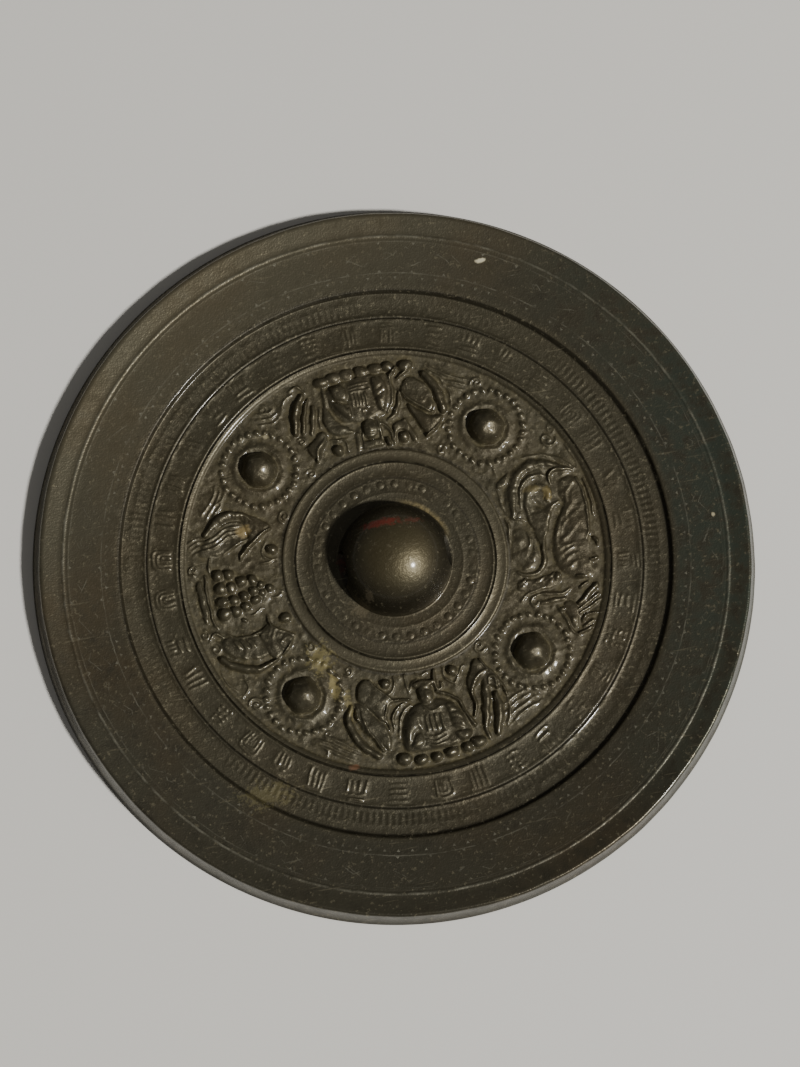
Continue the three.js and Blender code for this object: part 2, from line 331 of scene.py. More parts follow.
def carveLowerFigure(c):
    c.face(270)
    # robe
    c.leaf([(-2.6, 39.4), (1, 38.8), (4.6, 38.6), (8.6, 41.4), (11, 46.4), (10.6, 50.6), (4, 52), (-3.4, 52),
            (-6.8, 50.8), (-7.2, 46), (-5.4, 42)], 1.0, 1.5, 0.2)
    c.leaf([(-2.6, 41), (-1.2, 43), (-1.6, 46), (-3.4, 46.2), (-5.4, 49.4), (-6.6, 49), (-6.4, 45),
            (-4.6, 42)], 1.8, 1.4, 0.2)
    c.leaf([(-1.6, 46.8), (-1.8, 49.8), (-4, 51.2), (-5.6, 50.2), (-4.6, 47.8), (-3, 46.4)], 1.9, 1.4, 0.2)
    c.leaf([(5.6, 40), (8.4, 42), (10.4, 46), (9.8, 48), (6.6, 47.6), (5.4, 44)], 1.7, 1.3, 0.2)
    c.leaf([(6.4, 48.2), (9.8, 47.8), (11, 49.4), (10, 51), (7.4, 50.6)], 1.9, 1.3, 0.2)
    for out in (41.7, 43.2, 44.7, 46.2):
        c.cut([(5.8, out), (7.6, out - 0.2), (9.6, out + 0.7)], 0.5, 0.28)
    c.ridge([(-0.4, 40.2), (1.6, 41.9), (4.6, 40.6)], [0.6, 0.8, 0.6], 0.5, onTop=True)
    for across in (-0.2, 1.1, 2.4, 3.8):
        c.ridge([(across, 42.9), (across + 0.1, 46.7)], [0.7], 0.4, onTop=True)
    for out, half in ((48, 2.4), (49.2, 2.8), (50.4, 3)):
        c.ridge([(1.4 - half, out - 0.2), (1.4, out + 0.5), (1.4 + half, out - 0.3)], [0.5, 0.9, 0.5], 0.45,
                onTop=True)
    # seat of round cushions
    for across, out, half, deep in ((-7.9, 53, 2.2, 1.7), (-3.5, 53.9, 1.7, 1.3), (0.6, 54, 1.7, 1.3),
                                    (4.9, 53.6, 1.8, 1.4), (9, 53, 1.7, 1.4), (12.4, 52.2, 2.2, 1.5)):
        c.dome(across, out, half, deep, 1.9)
    # headdress, shoulder scarf and the bands that hang on each side
    c.leaf([(-1.9, 33.4), (3.4, 33.4), (3.2, 35), (-1.6, 35)], 1.5, 0.6)
    carveRidges(c, (
        ([(-0.6, 32.8), (-2.2, 33.4), (-3, 35.2)], [0.6, 0.9, 0.5], 0.7),
        ([(4, 31), (3.9, 33.6), (4.1, 36), (5.4, 36.2), (5.4, 34.6)], [0.9, 1.0, 0.8, 0.6], 1.0),
        ([(4.2, 36.9), (6.6, 38), (8.7, 39.7), (10.2, 42.6), (11.3, 45.4), (12.2, 47.3)],
         [0.8, 0.9, 0.9, 0.9, 1.2], 1.4),
        ([(-3.2, 37.6), (-6.6, 36.9), (-9.2, 37.4), (-10.4, 39.2), (-10.9, 41.6), (-10.2, 44.6)],
         [0.5, 0.8, 1.0, 0.9, 0.5], 1.2),
        ([(-5, 38.2), (-7.4, 39.2), (-8.9, 41.4), (-9, 45)], [0.6, 0.9, 0.9, 0.4], 0.8),
        ([(-3.4, 39), (-5.8, 40.8), (-7.2, 43.8), (-7.9, 47)], [0.5, 0.8, 0.7, 0.4], 0.7),
        ([(-3.8, 31), (-3.9, 33), (-3.3, 35.6)], [0.5, 0.8, 0.5], 0.6),
        ([(-0.6, 31), (0.8, 31.9), (2.4, 31)], [0.5, 0.7, 0.5], 0.6),
    ))
    # left wing: a tall leaf, and two feathers below it
    c.leaf([(-14.6, 29.9), (-11.6, 33.4), (-8.7, 36.8), (-10.9, 39), (-11.1, 42.6), (-14.4, 38.4),
            (-17.4, 34.6)], 1.1, 0.9, 0.2)
    c.leaf([(-18.4, 35.8), (-15.4, 36.8), (-12.6, 41.4), (-10.4, 46), (-11.4, 49.6), (-14.8, 46.4),
            (-18.2, 41.6)], 0.9, 0.9, 0.2)
    carveRidges(c, (
        ([(-13.5, 30.4), (-11.5, 33.5), (-8.6, 36.6)], [0.6, 0.8, 0.6], 1.5),
        ([(-19.2, 36.4), (-20.6, 40.4), (-19.6, 44.4), (-17.4, 48), (-14.4, 50.9)],
         [1.2, 2.0, 2.6, 2.6, 1.8], 1.8),
        ([(-16.9, 36.6), (-16.7, 40.6), (-15.4, 44.6), (-13, 49.6)], [0.6, 1.0, 0.9, 0.8], 1.5),
        ([(-18.3, 37.4), (-18.1, 40.6)], [0.9, 1.0], 1.7),
        ([(-12.2, 41.6), (-11.2, 45), (-10.9, 48.4)], [0.4, 0.8, 0.4], 0.9),
    ))
    # right wing: a blade with a turned-over edge, a hook and a long feather
    c.leaf([(15.6, 29.9), (18.6, 33.6), (21.6, 38.2), (18.4, 38.2), (16.2, 36.2), (13, 38.6), (12.2, 36.8),
            (13.6, 32.8)], 1.0, 0.8, 0.2)
    carveRidges(c, (
        ([(16.8, 30.5), (19, 33.9), (21.5, 38), (22.3, 41.4)], [0.7, 0.8, 0.8, 0.5], 1.3),
        ([(18.2, 33.5), (15.6, 34.8), (13.5, 37.6), (13.4, 40.6), (13.5, 43), (12.4, 45.2)],
         [0.8, 1.6, 1.5, 0.9, 0.9, 0.5], 1.8),
        ([(17, 36), (16.5, 41), (15.6, 46), (14.8, 49.4), (15.4, 51.8)], [1.4, 2.6, 2.6, 1.6, 0.9], 1.4),
        ([(17.8, 37.6), (18.4, 35.8), (20, 36.4), (19.9, 38.5)], [0.8, 1.1, 1.2, 1.0], 1.7),
        ([(19.4, 40.2), (19.6, 44), (18.8, 48), (17.8, 50.8)], [1.6, 2.4, 2.4, 1.6], 1.8),
        ([(22.2, 42), (22, 45.6), (20.8, 49)], [0.4, 0.8, 0.4], 0.7),
    ))
    c.ribs([(15, 35.2), (13.6, 37.6), (13.5, 42)], 6, 1.1, 0.5, 0.15, 90)
    # beads in their frames
    for side in (-1, 1):
        c.dome(side * 9.1, 32.3, 1.5, 1.5, 1.8)
        c.ridge(mirrored([(6.6, 30.9), (6.6, 33), (7.6, 34.8), (9.6, 35), (12, 31.4)], side), [0.6], 0.6)
    # scrolls and clouds to each side
    for route, count in (([(21, 49.6), (25, 46.6), (31, 44.4)], 4),
                         ([(-31, 44.8), (-27, 46.6), (-21, 51)], 3)):
        c.strands(route, count, -1.5, [0.4, 0.9, 0.5], 0.45)
    c.ridge([(-28.6, 49.4), (-27.4, 47), (-29, 45)], [0.5, 0.8, 0.5], 0.5)
    c.curl(17.6, 27, 1.8, 1.3, 30, 0.6, 0.6)
    c.curl(-18, 26.8, 1.6, 1.2, 150, 0.6, 0.5, -1)
    c.curl(-26.4, 42.6, 1.4, 1.2, 60, 0.5, 0.45)


def carveBeadedMound(c):
    c.face(180)
    c.leaf([(1, 32.6), (4.6, 35.4), (7, 40), (8.4, 45), (7.6, 48.6), (0, 49.4), (-5.6, 48.4), (-4.6, 42),
            (-1.6, 36.4)], 0.4, 1.8, 0.1)
    # its beads: how far out each row is, their places across, radius
    for out, places, radius in ((47.3, (-4.7, -1.2, 2.5, 5.7), 1.7), (44.4, (-4.5, -0.9, 2.5, 5.6), 1.6),
                                (41.4, (-2, 1.9, 4.9), 1.55), (38.6, (-1.9, 0.9, 3.4), 1.4),
                                (36.7, (-0.5, 1.9), 1.15), (34.4, (0.9,), 1.15)):
        for across in places:
            c.dome(across, out, radius, radius, 1.2 + radius / 2)
    c.leaf([(-3.4, 51.7), (6.4, 51.7), (6.2, 53.4), (-3, 53.4)], 0.8, 0.6)
    carveRidges(c, (
        ([(-5.2, 50.6), (0, 51), (7, 50.6), (9, 49.8)], [0.7, 1.0, 1.0, 0.5], 1.0),
        ([(-10, 48.4), (-7.4, 49.4), (-5, 49.2)], [0.5, 0.8, 0.5], 0.8),
        ([(8.2, 42.8), (8.7, 41.9)], [0.9, 0.7], 1.0),
        ([(6.9, 42.8), (7.4, 40), (6, 37.4)], [0.5, 0.8, 0.5], 0.6),
        ([(-6.4, 32), (-5.7, 33.4), (-5.8, 35.2)], [0.5, 0.7, 0.4], 0.6),
        ([(3, 31.2), (4, 33), (3.6, 34.6)], [0.5, 0.8, 0.4], 0.5),
        ([(2.4, 31), (1.8, 32.6)], [0.6, 0.4], 0.5),
    ))
    # left wing: a ribbed blade with fine feathers under it, and a broad leaf to the knob
    c.leaf([(-15.2, 31), (-18.6, 34.2), (-20.6, 38.6), (-17.6, 38.4), (-13, 37.6), (-9, 40.4), (-8.2, 40.3),
            (-11.6, 36.8), (-13.6, 33.8)], 0.8, 0.8, 0.2)
    c.leaf([(-18, 38.6), (-18, 44), (-13.4, 50), (-11, 51), (-10.4, 45), (-12.8, 38.4)], 0.6, 1.0)
    carveRidges(c, (
        ([(-16.2, 48.6), (-18.9, 45.4), (-20.1, 41.4), (-19.6, 37.6), (-18.2, 35.8)],
         [1.6, 2.6, 2.8, 1.8, 1.0], 1.8),
        ([(-14.6, 31.2), (-13.6, 34), (-11.6, 37), (-9.2, 40), (-8.1, 40.4)], [0.7, 1.0, 1.1, 1.0, 0.6], 1.7),
        ([(-15.4, 31.2), (-17.6, 33.4), (-20.4, 37.8)], [0.4, 0.7, 0.5], 0.9),
        ([(-10.2, 45), (-11.8, 41), (-13.2, 37.4)], [0.4, 0.7, 0.4], 1.0),
    ))
    c.ribs([(-18.2, 36.4), (-19.3, 39.6), (-19.2, 42.6), (-17, 47.6)], 14, 1.5, 0.45, -0.25, 78)
    c.strands([(-14.8, 39.6), (-14.6, 43), (-12.4, 46.6), (-12.2, 50.6), (-11.4, 53)], 4, 1.15,
              [0.4, 0.8, 0.8, 0.6, 0.4], 0.5, onTop=True)
    # right wing
    c.leaf([(10.8, 36.6), (13.4, 39.6), (19.2, 37.4), (19.6, 35), (16.2, 31), (14.8, 30.8), (12.6, 34.4)],
           1.0, 0.8, 0.2)
    c.ribs([(12.6, 36.4), (15.4, 33), (17.4, 34.8)], 10, 2.8, 0.4, 0.24, 80)
    c.leaf([(12.4, 49), (12.8, 40.4), (16.8, 37.2), (19, 39), (18.6, 45), (15.8, 49.2)], 0.7, 0.8, 0.2)
    c.ribs([(14.8, 41.6), (14.8, 46.4)], 6, 2.8, 0.55, 0.5, 62)
    carveRidges(c, (
        ([(16.3, 31.4), (17.8, 32.6), (19.2, 34)], [0.6, 0.8, 0.6], 1.8),
        ([(14.8, 30.4), (11.6, 35.4), (8, 36.6)], [0.5, 0.9, 0.6], 1.2),
        ([(17.2, 50.4), (19.8, 47.6), (21.6, 43), (21.7, 39.6), (20.2, 36.2)], [1.6, 2.4, 2.4, 2.0, 0.9],
         1.8),
        ([(10.6, 36.8), (12.4, 40), (12.6, 45), (11.2, 48)], [0.6, 1.0, 0.9, 0.4], 0.9),
        ([(11.9, 49), (10.4, 50.6), (11.6, 52.4)], [0.4, 0.8, 0.4], 0.8),
    ))
    c.ribs([(21.6, 41.4), (20.4, 36.4)], 5, 1.3, 0.5, 0.2, 90)
    # beads in their frames
    c.dome(9.5, 31.8, 1.4, 1.5, 1.5)
    c.dome(-9.3, 31.7, 1.4, 1.5, 1.8)
    c.ridge([(-6.4, 31.2), (-6.9, 33.6), (-9, 34.6), (-11.6, 33)], [0.4, 0.6, 0.6, 0.4], 0.5)
    # scrolls and clouds
    c.curl(-7.6, 53.4, 1.6, 1.3, 0, 0.6, 0.7)
    c.curl(10.2, 53.6, 1.4, 1.3, 180, 0.6, 0.6)
    c.curl(14.6, 51.4, 1.7, 0.9, 200, 0.7, 0.5)
    c.curl(31, 43.6, 2.1, 1.4, 90, 0.6, 0.55)
    c.curl(-17.4, 26.8, 1.9, 1.3, 30, 0.6, 0.55)
    c.curl(18.6, 26.6, 1.6, 1.2, 120, 0.6, 0.5, -1)
    c.strands([(-29, 43.6), (-25.4, 45.2), (-21.6, 48.8)], 3, -1.5, [0.4, 0.8, 0.5], 0.45)
    carveRidges(c, (
        ([(-28.4, 40.8), (-25.4, 42), (-23.6, 44.4)], [0.5, 0.8, 0.4], 0.5),
        ([(23.4, 45.6), (26.4, 45), (28.4, 47)], [0.4, 0.8, 0.4], 0.5),
        ([(20.6, 51.4), (24.2, 50), (27, 47.8)], [0.4, 0.8, 0.4], 0.5),
    ))


def carveBeast(c):
    c.face(0)
    # the crest: a thick crescent with short ribs, a second band inside it and a hooked tip
    c.leaf([(6, 31.8), (12, 32.4), (17, 34.6), (20, 39.6), (19.8, 44), (17, 49), (14.6, 51), (12.6, 47.4),
            (7.6, 46.4),
            (5.2, 43), (4.4, 37.4)], 0.6, 1.2, 0.1)
    carveRidges(c, (
        ([(5.6, 33.4), (9, 33.9), (13.4, 34.9), (16.9, 37.4), (18.5, 41), (18.2, 45), (16.8, 48.4),
          (15.2, 51.4)],
         [1.4, 2.6, 2.8, 2.8, 2.8, 2.2, 1.6, 0.7], 1.7),
        ([(7.4, 36.2), (11, 36.4), (13.8, 38), (15.3, 41), (14.6, 44.2)], [0.8, 1.4, 1.7, 1.6, 0.8], 1.5),
        ([(12.4, 44.8), (14.8, 45.1), (16.1, 47.2), (15.6, 50.8)], [0.8, 1.5, 1.4, 0.5], 2.2),
        ([(6.6, 31.4), (9.4, 31.2), (13, 31)], [0.5, 0.8, 0.5], 0.6),
    ))
    c.leaf([(13.6, 30.9), (15.6, 31.2), (17.6, 34), (16.6, 34.4), (14, 32.8)], 1.0, 0.7)
    c.ribs([(9, 33.9), (13.4, 35), (16.9, 37.6), (18.4, 41.4), (17.8, 46)], 9, 2.2, 0.8, -0.16, 84)
    c.ribs([(9, 36.2), (12.8, 37.4), (15.1, 40.6)], 7, 1.0, 0.6, 0.2, 84)
    # the thick curl
    c.ridge([(8.5, 43.4), (10.1, 44.1), (11.7, 42.9), (12.1, 40.8), (11, 38.6), (8.4, 37.8), (5.6, 37.6),
             (3, 38),
             (0.6, 38.8), (-1.6, 39.4)], [2.0, 2.4, 2.4, 2.4, 2.2, 1.8, 1.4, 1.1, 0.9, 0.9], 1.5)
    c.dome(8.6, 43.4, 1.2, 1.2, 1.6)
    c.cut([(8.6, 39.8), (7.2, 40.6), (6.6, 42)], 1.5, 0.7)
    # neck and fore leg, down to a bent ankle
    c.leaf([(5.2, 38), (5.6, 41.4), (7.4, 45.6), (5.4, 44.8), (2.6, 42.6), (-1, 40.8), (-3.4, 40.1),
            (-3, 38.9),
            (1.4, 38.2)], 1.0, 0.8)
    carveRidges(c, (
        ([(7.6, 46.4), (5.9, 44.2), (3.4, 42.8), (0.4, 41.4), (-2.8, 40.1), (-6.4, 39.7), (-9, 38.8),
          (-10.6, 36.4),
          (-10.6, 33.6), (-9.4, 31.4)], [0.7, 1.0, 0.8, 0.8, 1.2, 1.5, 1.5, 1.3, 1.0, 0.6], 1.3),
        ([(6.4, 31.6), (5, 33.6), (3.9, 36.4)], [0.4, 0.7, 0.5], 0.9),
        ([(5.4, 31.2), (2.6, 31.5), (-1, 31.2)], [0.5, 0.8, 0.5], 0.8),
    ))
    c.leaf([(1.4, 32.4), (-2.4, 31.4), (-7.6, 32.4), (-9.8, 35), (-8.6, 38.2), (-4, 38.4), (0, 37.4),
            (1.8, 35)], 0.35, 1.3, 0.1)
    # paw: soft toes that turn towards the knob
    for across, out, a, o, high, turn in ((-1.3, 33.6, 1.5, 1.9, 0.8, 20), (-4.7, 34.6, 1.5, 2.3, 0.9, 35),
                                          (-6, 36.8, 1.3, 2.1, 0.9, 40), (-8.6, 35, 1.1, 2.1, 0.9, 8),
                                          (-5.4, 32.4, 1.3, 1.6, 0.6, 10)):
        c.dome(across, out, a, o, high, turn)
    c.ridge([(0.6, 36.4), (-0.8, 36.8), (-2.8, 36.2), (-4, 35)], [0.5, 0.8, 0.8, 0.4], 1.0)
    c.ridge([(-2.2, 37.8), (-3.8, 37.4), (-5.4, 38)], [0.4, 0.8, 0.4], 0.9)
    # body with long flowing hair
    c.leaf([(13, 47.4), (13.2, 51.6), (9, 53.4), (3, 53.6), (-3, 52.4), (-8, 51.8), (-14, 51.4), (-14.4, 47),
            (-11.4, 43.4), (-8, 41.9), (-3.6, 42.2), (0.4, 43.6), (3.4, 45.6), (6.6, 47.6), (9.8, 46.6)],
           0.85, 1.6, 0.3)
    carveRidges(c, (
        ([(-6, 43), (-2, 43.6), (2.4, 45.8), (6.4, 48), (9.6, 48.8)], [0.6, 1.0, 1.0, 0.9, 0.5], 0.26),
        ([(-3.8, 44.2), (-2.6, 46.2), (-0.6, 49), (1.6, 51.2)], [0.6, 1.1, 1.1, 0.6], 0.27),
        ([(-0.8, 45.2), (1, 46.4), (2.6, 48.2), (4.2, 51)], [0.6, 1.1, 1.0, 0.6], 0.26),
        ([(2.6, 47), (4.6, 48), (6.6, 49.4), (9.6, 50.4)], [0.6, 1.0, 1.0, 0.6], 0.26),
        ([(6.4, 47.8), (9.6, 49), (11.9, 51.2)], [0.5, 1.0, 0.6], 0.3),
        ([(-5.8, 43.6), (-5, 45.4), (-4.6, 48.2)], [0.5, 1.0, 0.5], 0.4),
        ([(-7.6, 43.6), (-6.6, 45.2), (-5.8, 48)], [0.5, 1.0, 0.6], 0.36),
        ([(-9.2, 44.2), (-8, 46), (-7.4, 48.8)], [0.5, 0.9, 0.5], 0.34),
        ([(-10.8, 45.8), (-9.6, 47.2), (-9.2, 49.6)], [0.5, 0.9, 0.5], 0.3),
    ), onTop=True)
    carveRidges(c, (
        ([(12.8, 52), (8, 53.3), (3, 53.4), (-2, 52.4), (-5.2, 50.6)], [0.7, 1.2, 1.2, 1.0, 0.5], 1.5),
        ([(12, 54), (7.4, 55.1), (2.2, 54.9)], [0.6, 0.9, 0.5], 1.2),
        ([(-4.2, 53.4), (-5.2, 54.2), (-6.2, 54)], [0.9, 1.2, 0.6], 1.5),
        ([(-9.7, 51.4), (-9.4, 53.6)], [0.9, 0.7], 1.7),
        ([(-13.4, 47), (-13.8, 48.4)], [0.9], 1.9),
        ([(-16.8, 47.4), (-15.8, 49.4)], [0.9, 0.7], 1.3),
    ))
    # rough fur over the haunch
    for across, out in ((-12.2, 32.4), (-12.9, 33), (-13.5, 32.2), (-12.7, 37.4), (-13.2, 38.6), (-12.2, 40),
                        (-13.6, 39.8), (-13, 36)):
        c.ridge([(across - 0.6, out - 1.2), (across, out), (across + 0.8, out + 1)], [0.5, 0.8, 0.5], 1.2)
    c.leaf([(-11.8, 31.4), (-14.6, 30.8), (-15.4, 35), (-15, 41), (-13.6, 43), (-11.6, 41.6), (-12, 36)],
           0.8, 0.9)
    c.dome(-12.8, 41.8, 1.3, 1.2, 1.7)
    # the curled tail and its plume
    carveRidges(c, (
        ([(-17.4, 31), (-15.9, 33.2), (-15.2, 37), (-14.9, 41.2)], [0.5, 1.0, 1.0, 0.6], 0.9),
        ([(-18.4, 35.4), (-19.2, 34.4), (-18.2, 33.3), (-16.9, 34.6), (-16.7, 38), (-17.2, 41.8),
          (-16.4, 44.6)],
         [0.6, 0.8, 0.9, 0.9, 0.9, 1.0, 0.6], 1.0),
        ([(-18.9, 36), (-18.7, 39), (-18.6, 42.4)], [0.8, 1.6, 1.2], 1.2),
        ([(-20.8, 46), (-19.9, 48), (-18.2, 49.6), (-17, 51.6)], [1.4, 1.5, 1.4, 1.6], 1.8),
        ([(-22.6, 45.6), (-20.9, 48.4), (-19.2, 51.6)], [0.8, 1.1, 0.7], 1.4),
        ([(-23.8, 45.8), (-22.2, 48.8), (-20.6, 52)], [0.7, 1.0, 0.6], 1.2),
        ([(-25.8, 46.2), (-24.4, 47.6), (-24.3, 50.2)], [0.8, 1.1, 0.8], 1.6),
        ([(-27.2, 46.2), (-26.2, 48.8)], [0.7, 0.9], 1.1),
        ([(-28.7, 44.6), (-27.7, 48.2)], [0.8, 0.9], 1.5),
        ([(-20.4, 40.4), (-24, 41.6), (-27.4, 42.8), (-29.4, 44.6)], [0.5, 0.9, 0.9, 0.5], 1.0),
    ))
    c.leaf([(-19.8, 42), (-20.6, 45.4), (-24.6, 45.4), (-27, 44.6), (-25.4, 42.6)], 0.9, 1.0, 0.2)
    c.dome(-21.7, 41.4, 0.8, 0.8, 1.5)
    c.dome(-24.8, 43.5, 0.8, 0.8, 1.6)
    # small scrolls
    c.curl(24.6, 46.8, 2.3, 1.3, 80, 0.7, 0.7)
    c.curl(27.4, 48, 1.2, 1.2, 160, 0.5, 0.5, -1)
    carveRidges(c, (
        ([(20.9, 39), (20.9, 44), (18.6, 48.8), (15.6, 52.4)], [0.4, 0.7, 0.9, 0.5], 0.7),
        ([(16.4, 53.4), (19.4, 52.6), (22.4, 51)], [0.5, 0.9, 0.5], 0.6),
        ([(20.6, 30.4), (17, 31.4)], [0.6, 0.4], 0.5),
    ))


# The four bosses, in millimetres. Each is a dome in a soft collar, with a ring of beads round it
bossRing = {
    "place": 44.0,         # from the centre of the mirror
    "domeRadius": 4.9,
    "domeHeight": 4.9,
    "domeFullness": 0.62,  # 0.5 is half an ellipsoid, and more is more pointed
    "collarRadius": 6.3,
    "collarHeight": 0.55,
    "collarSpread": 0.95,
    "beadRing": 10.0,      # the radius of the ring that the beads stand on
    "ringHeight": 0.12,
    "ringSpread": 1.1,
    "beadCount": 28,
    "beadRadius": 0.78,
    "beadHeight": 0.72,
    "reach": 13.0,         # how far from its middle anything of the boss stands
    "clearing": (0.6, 1.2),  # the scenes stop this far outside the beads, and fade over this much
}


def carveBosses(c):
    b = bossRing
    for quarter in (45, 135, 225, 315):
        c.face(quarter)
        centre = c.place([(0, b["place"])])
        rows, columns, x, y = c.window(centre, b["reach"])
        d = np.hypot(x - centre[0, 0], y - centre[0, 1])
        patch = c.height[rows, columns]
        patch *= np.clip((d - b["beadRing"] - b["clearing"][0]) / b["clearing"][1], 0, 1)
        collar = b["collarHeight"] * np.exp(-((d - b["collarRadius"]) / b["collarSpread"]) ** 2)
        ring = b["ringHeight"] * np.exp(-((d - b["beadRing"]) / b["ringSpread"]) ** 2)
        dome = b["domeHeight"] * np.clip(1 - (d / b["domeRadius"]) ** 2, 0, 1) ** b["domeFullness"]
        np.maximum(patch, np.maximum(collar + ring, dome), out=patch)
        for k in range(b["beadCount"]):
            a = 2 * math.pi * k / b["beadCount"]
            c.dome(b["beadRing"] * math.cos(a), b["place"] + b["beadRing"] * math.sin(a),
                   b["beadRadius"], b["beadRadius"], b["beadHeight"])


# The band of shallow strokes, where the real one has writing: worn blocks of unjoined bars, slants and arcs
strokeBand = {
    "radius": 62.3,     # mm, the middle of the band
    "groups": 36,
    "tall": 2.65,       # mm, half the height of a group
    "wide": 2.45,       # mm, half its width
    "stroke": 0.72,     # mm, the width of one stroke
    "height": 0.42,     # mm, how far it stands up where it isn't worn
    "shake": 0.13,      # mm, how far the end of a stroke misses its place
    "clearest": 228.0,  # degrees, where the band is least worn
    "seed": 11,
}


def strokeGroup(kind, rng):
    # Routes in a square from -1 to 1 that never meet
    level = np.linspace(-0.9, 0.9, 4)
    reach = rng.uniform(0.5, 1, 4)
    if kind == 0:  # bars
        return [[(-w, v), (w, v)] for v, w in zip(level, reach)]
    if kind == 1:  # uprights
        return [[(v, -w), (v, w)] for v, w in zip(level, reach)]
    if kind == 2:  # slants
        return [[(v - 0.2, -w), (v + 0.2, w)] for v, w in zip(level * 0.9, reach)]
    if kind == 3:  # two bars over uprights
        bars = [[(-0.9, -0.8), (0.9, -0.8)], [(-0.6, -0.25), (0.7, -0.25)]]
        return bars + [[(v, 0.3), (v, 0.95)] for v in level]
    if kind == 4:  # uprights over three bars
        bars = [[(-reach[0], 0.55), (-0.15, 0.6)], [(0.2, 0.6), (0.9, 0.5)], [(-0.7, 0.98), (0.8, 0.98)]]
        return [[(v, -0.9), (v, -0.1 + w / 3)] for v, w in zip(level, reach)] + bars
    if kind == 5:  # three arches, one inside the other
        return [[(-w, -0.9), (-w, 0.9 * w - 0.2), (0, w - 0.05), (w, 0.9 * w - 0.2), (w, -0.9)]
                for w in (0.2, 0.58, 0.98)]
    return [[(u - 0.1, v), (u + 0.1, v)] for u in (-0.75, 0, 0.75) for v in (-0.8, -0.2, 0.35, 0.9)]  # dashes


def carveStrokeBand(c):
    b = strokeBand
    rng = np.random.default_rng(b["seed"])
    for k in range(b["groups"]):
        degrees = 360 * k / b["groups"] + rng.uniform(-1.2, 1.2)
        c.face(degrees)
        flip = rng.choice((-1, 1))
        wide = b["wide"] * rng.uniform(0.75, 1.1)
        clear = 0.5 + 0.5 * math.cos(math.radians(degrees - b["clearest"]))
        height = b["height"] * (0.5 + 0.5 * clear) * rng.uniform(0.7, 1.1)
        for route in strokeGroup(rng.integers(7), rng):
            points = [(flip * a * wide + rng.normal(0, b["shake"]),
                       b["radius"] + o * b["tall"] + rng.normal(0, b["shake"])) for a, o in route]
            widths = [b["stroke"] * rng.uniform(0.75, 1.15) for _ in range(3)]
            c.ridge(points, widths, height * rng.uniform(0.5, 1.1))


def blurred(field, radius):
    # A soft blur of that radius in cells, by three running means each way
    width = max(1, int(round(radius * 0.6)) * 2 + 1)
    for _ in range(3):
        for axis in (0, 1):
            margin = [(width // 2, width // 2) if a == axis else (0, 0) for a in (0, 1)]
            padded = np.pad(field, margin, mode="edge")
            total = np.cumsum(padded, axis=axis)
            total = np.insert(total, 0, 0, axis=axis)
            n = field.shape[axis]
            field = (np.take(total, range(width, width + n), axis) - np.take(total, range(n), axis)) / width
    return field


def drift(shape, spacing, rng):
    # Smooth random values, about 1 in size, that change over that many cells
    small = rng.normal(0, 1, (int(shape[0] / spacing) + 4, int(shape[1] / spacing) + 4))
    rows = np.linspace(1, small.shape[0] - 3, shape[0])
    columns = np.linspace(1, small.shape[1] - 3, shape[1])
    r, k = rows.astype(int), columns.astype(int)
    fr, fc = (rows - r)[:, None], (columns - k)[None, :]
    fr, fc = fr * fr * (3 - 2 * fr), fc * fc * (3 - 2 * fc)
    a, b = small[np.ix_(r, k)], small[np.ix_(r, k + 1)]
    d, e = small[np.ix_(r + 1, k)], small[np.ix_(r + 1, k + 1)]
    return (a * (1 - fc) + b * fc) * (1 - fr) + (d * (1 - fc) + e * fc) * fr


def carveRelief():
    # All of it in order, because bosses and strokes lie over the scenes
    m = reliefMap
    c = Carving(m["reach"], m["cell"])
    carveUpperFigure(c)
    c.face(90)
    carveHead(c, -0.5, 36.4)
    carveLowerFigure(c)
    carveHead(c, 0.9, 36.9)
    carveBeadedMound(c)
    carveBeast(c)
    x, y = np.meshgrid(c.axis, c.axis)
    r = np.hypot(x, y)
    c.height *= 1 - m["wornAway"] * np.clip((x - np.abs(y)) / 6, 0, 1)
    inner, outer = m["scenes"]
    c.height *= np.clip((r - inner) / 0.7, 0, 1) * np.clip((outer - r) / 0.8, 0, 1)
    carveBosses(c)
    carveStrokeBand(c)
    rng = np.random.default_rng(m["seed"])
    inner, outer = m["ground"]
    ground = np.clip((r - inner) / 1.5, 0, 1) * np.clip((outer - r) / 1.5, 0, 1)
    c.height += ground * sum(high * drift(r.shape, apart, rng) for high, apart in m["lumps"])
    c.height = blurred(c.height, m["softening"] / m["cell"])
    return c


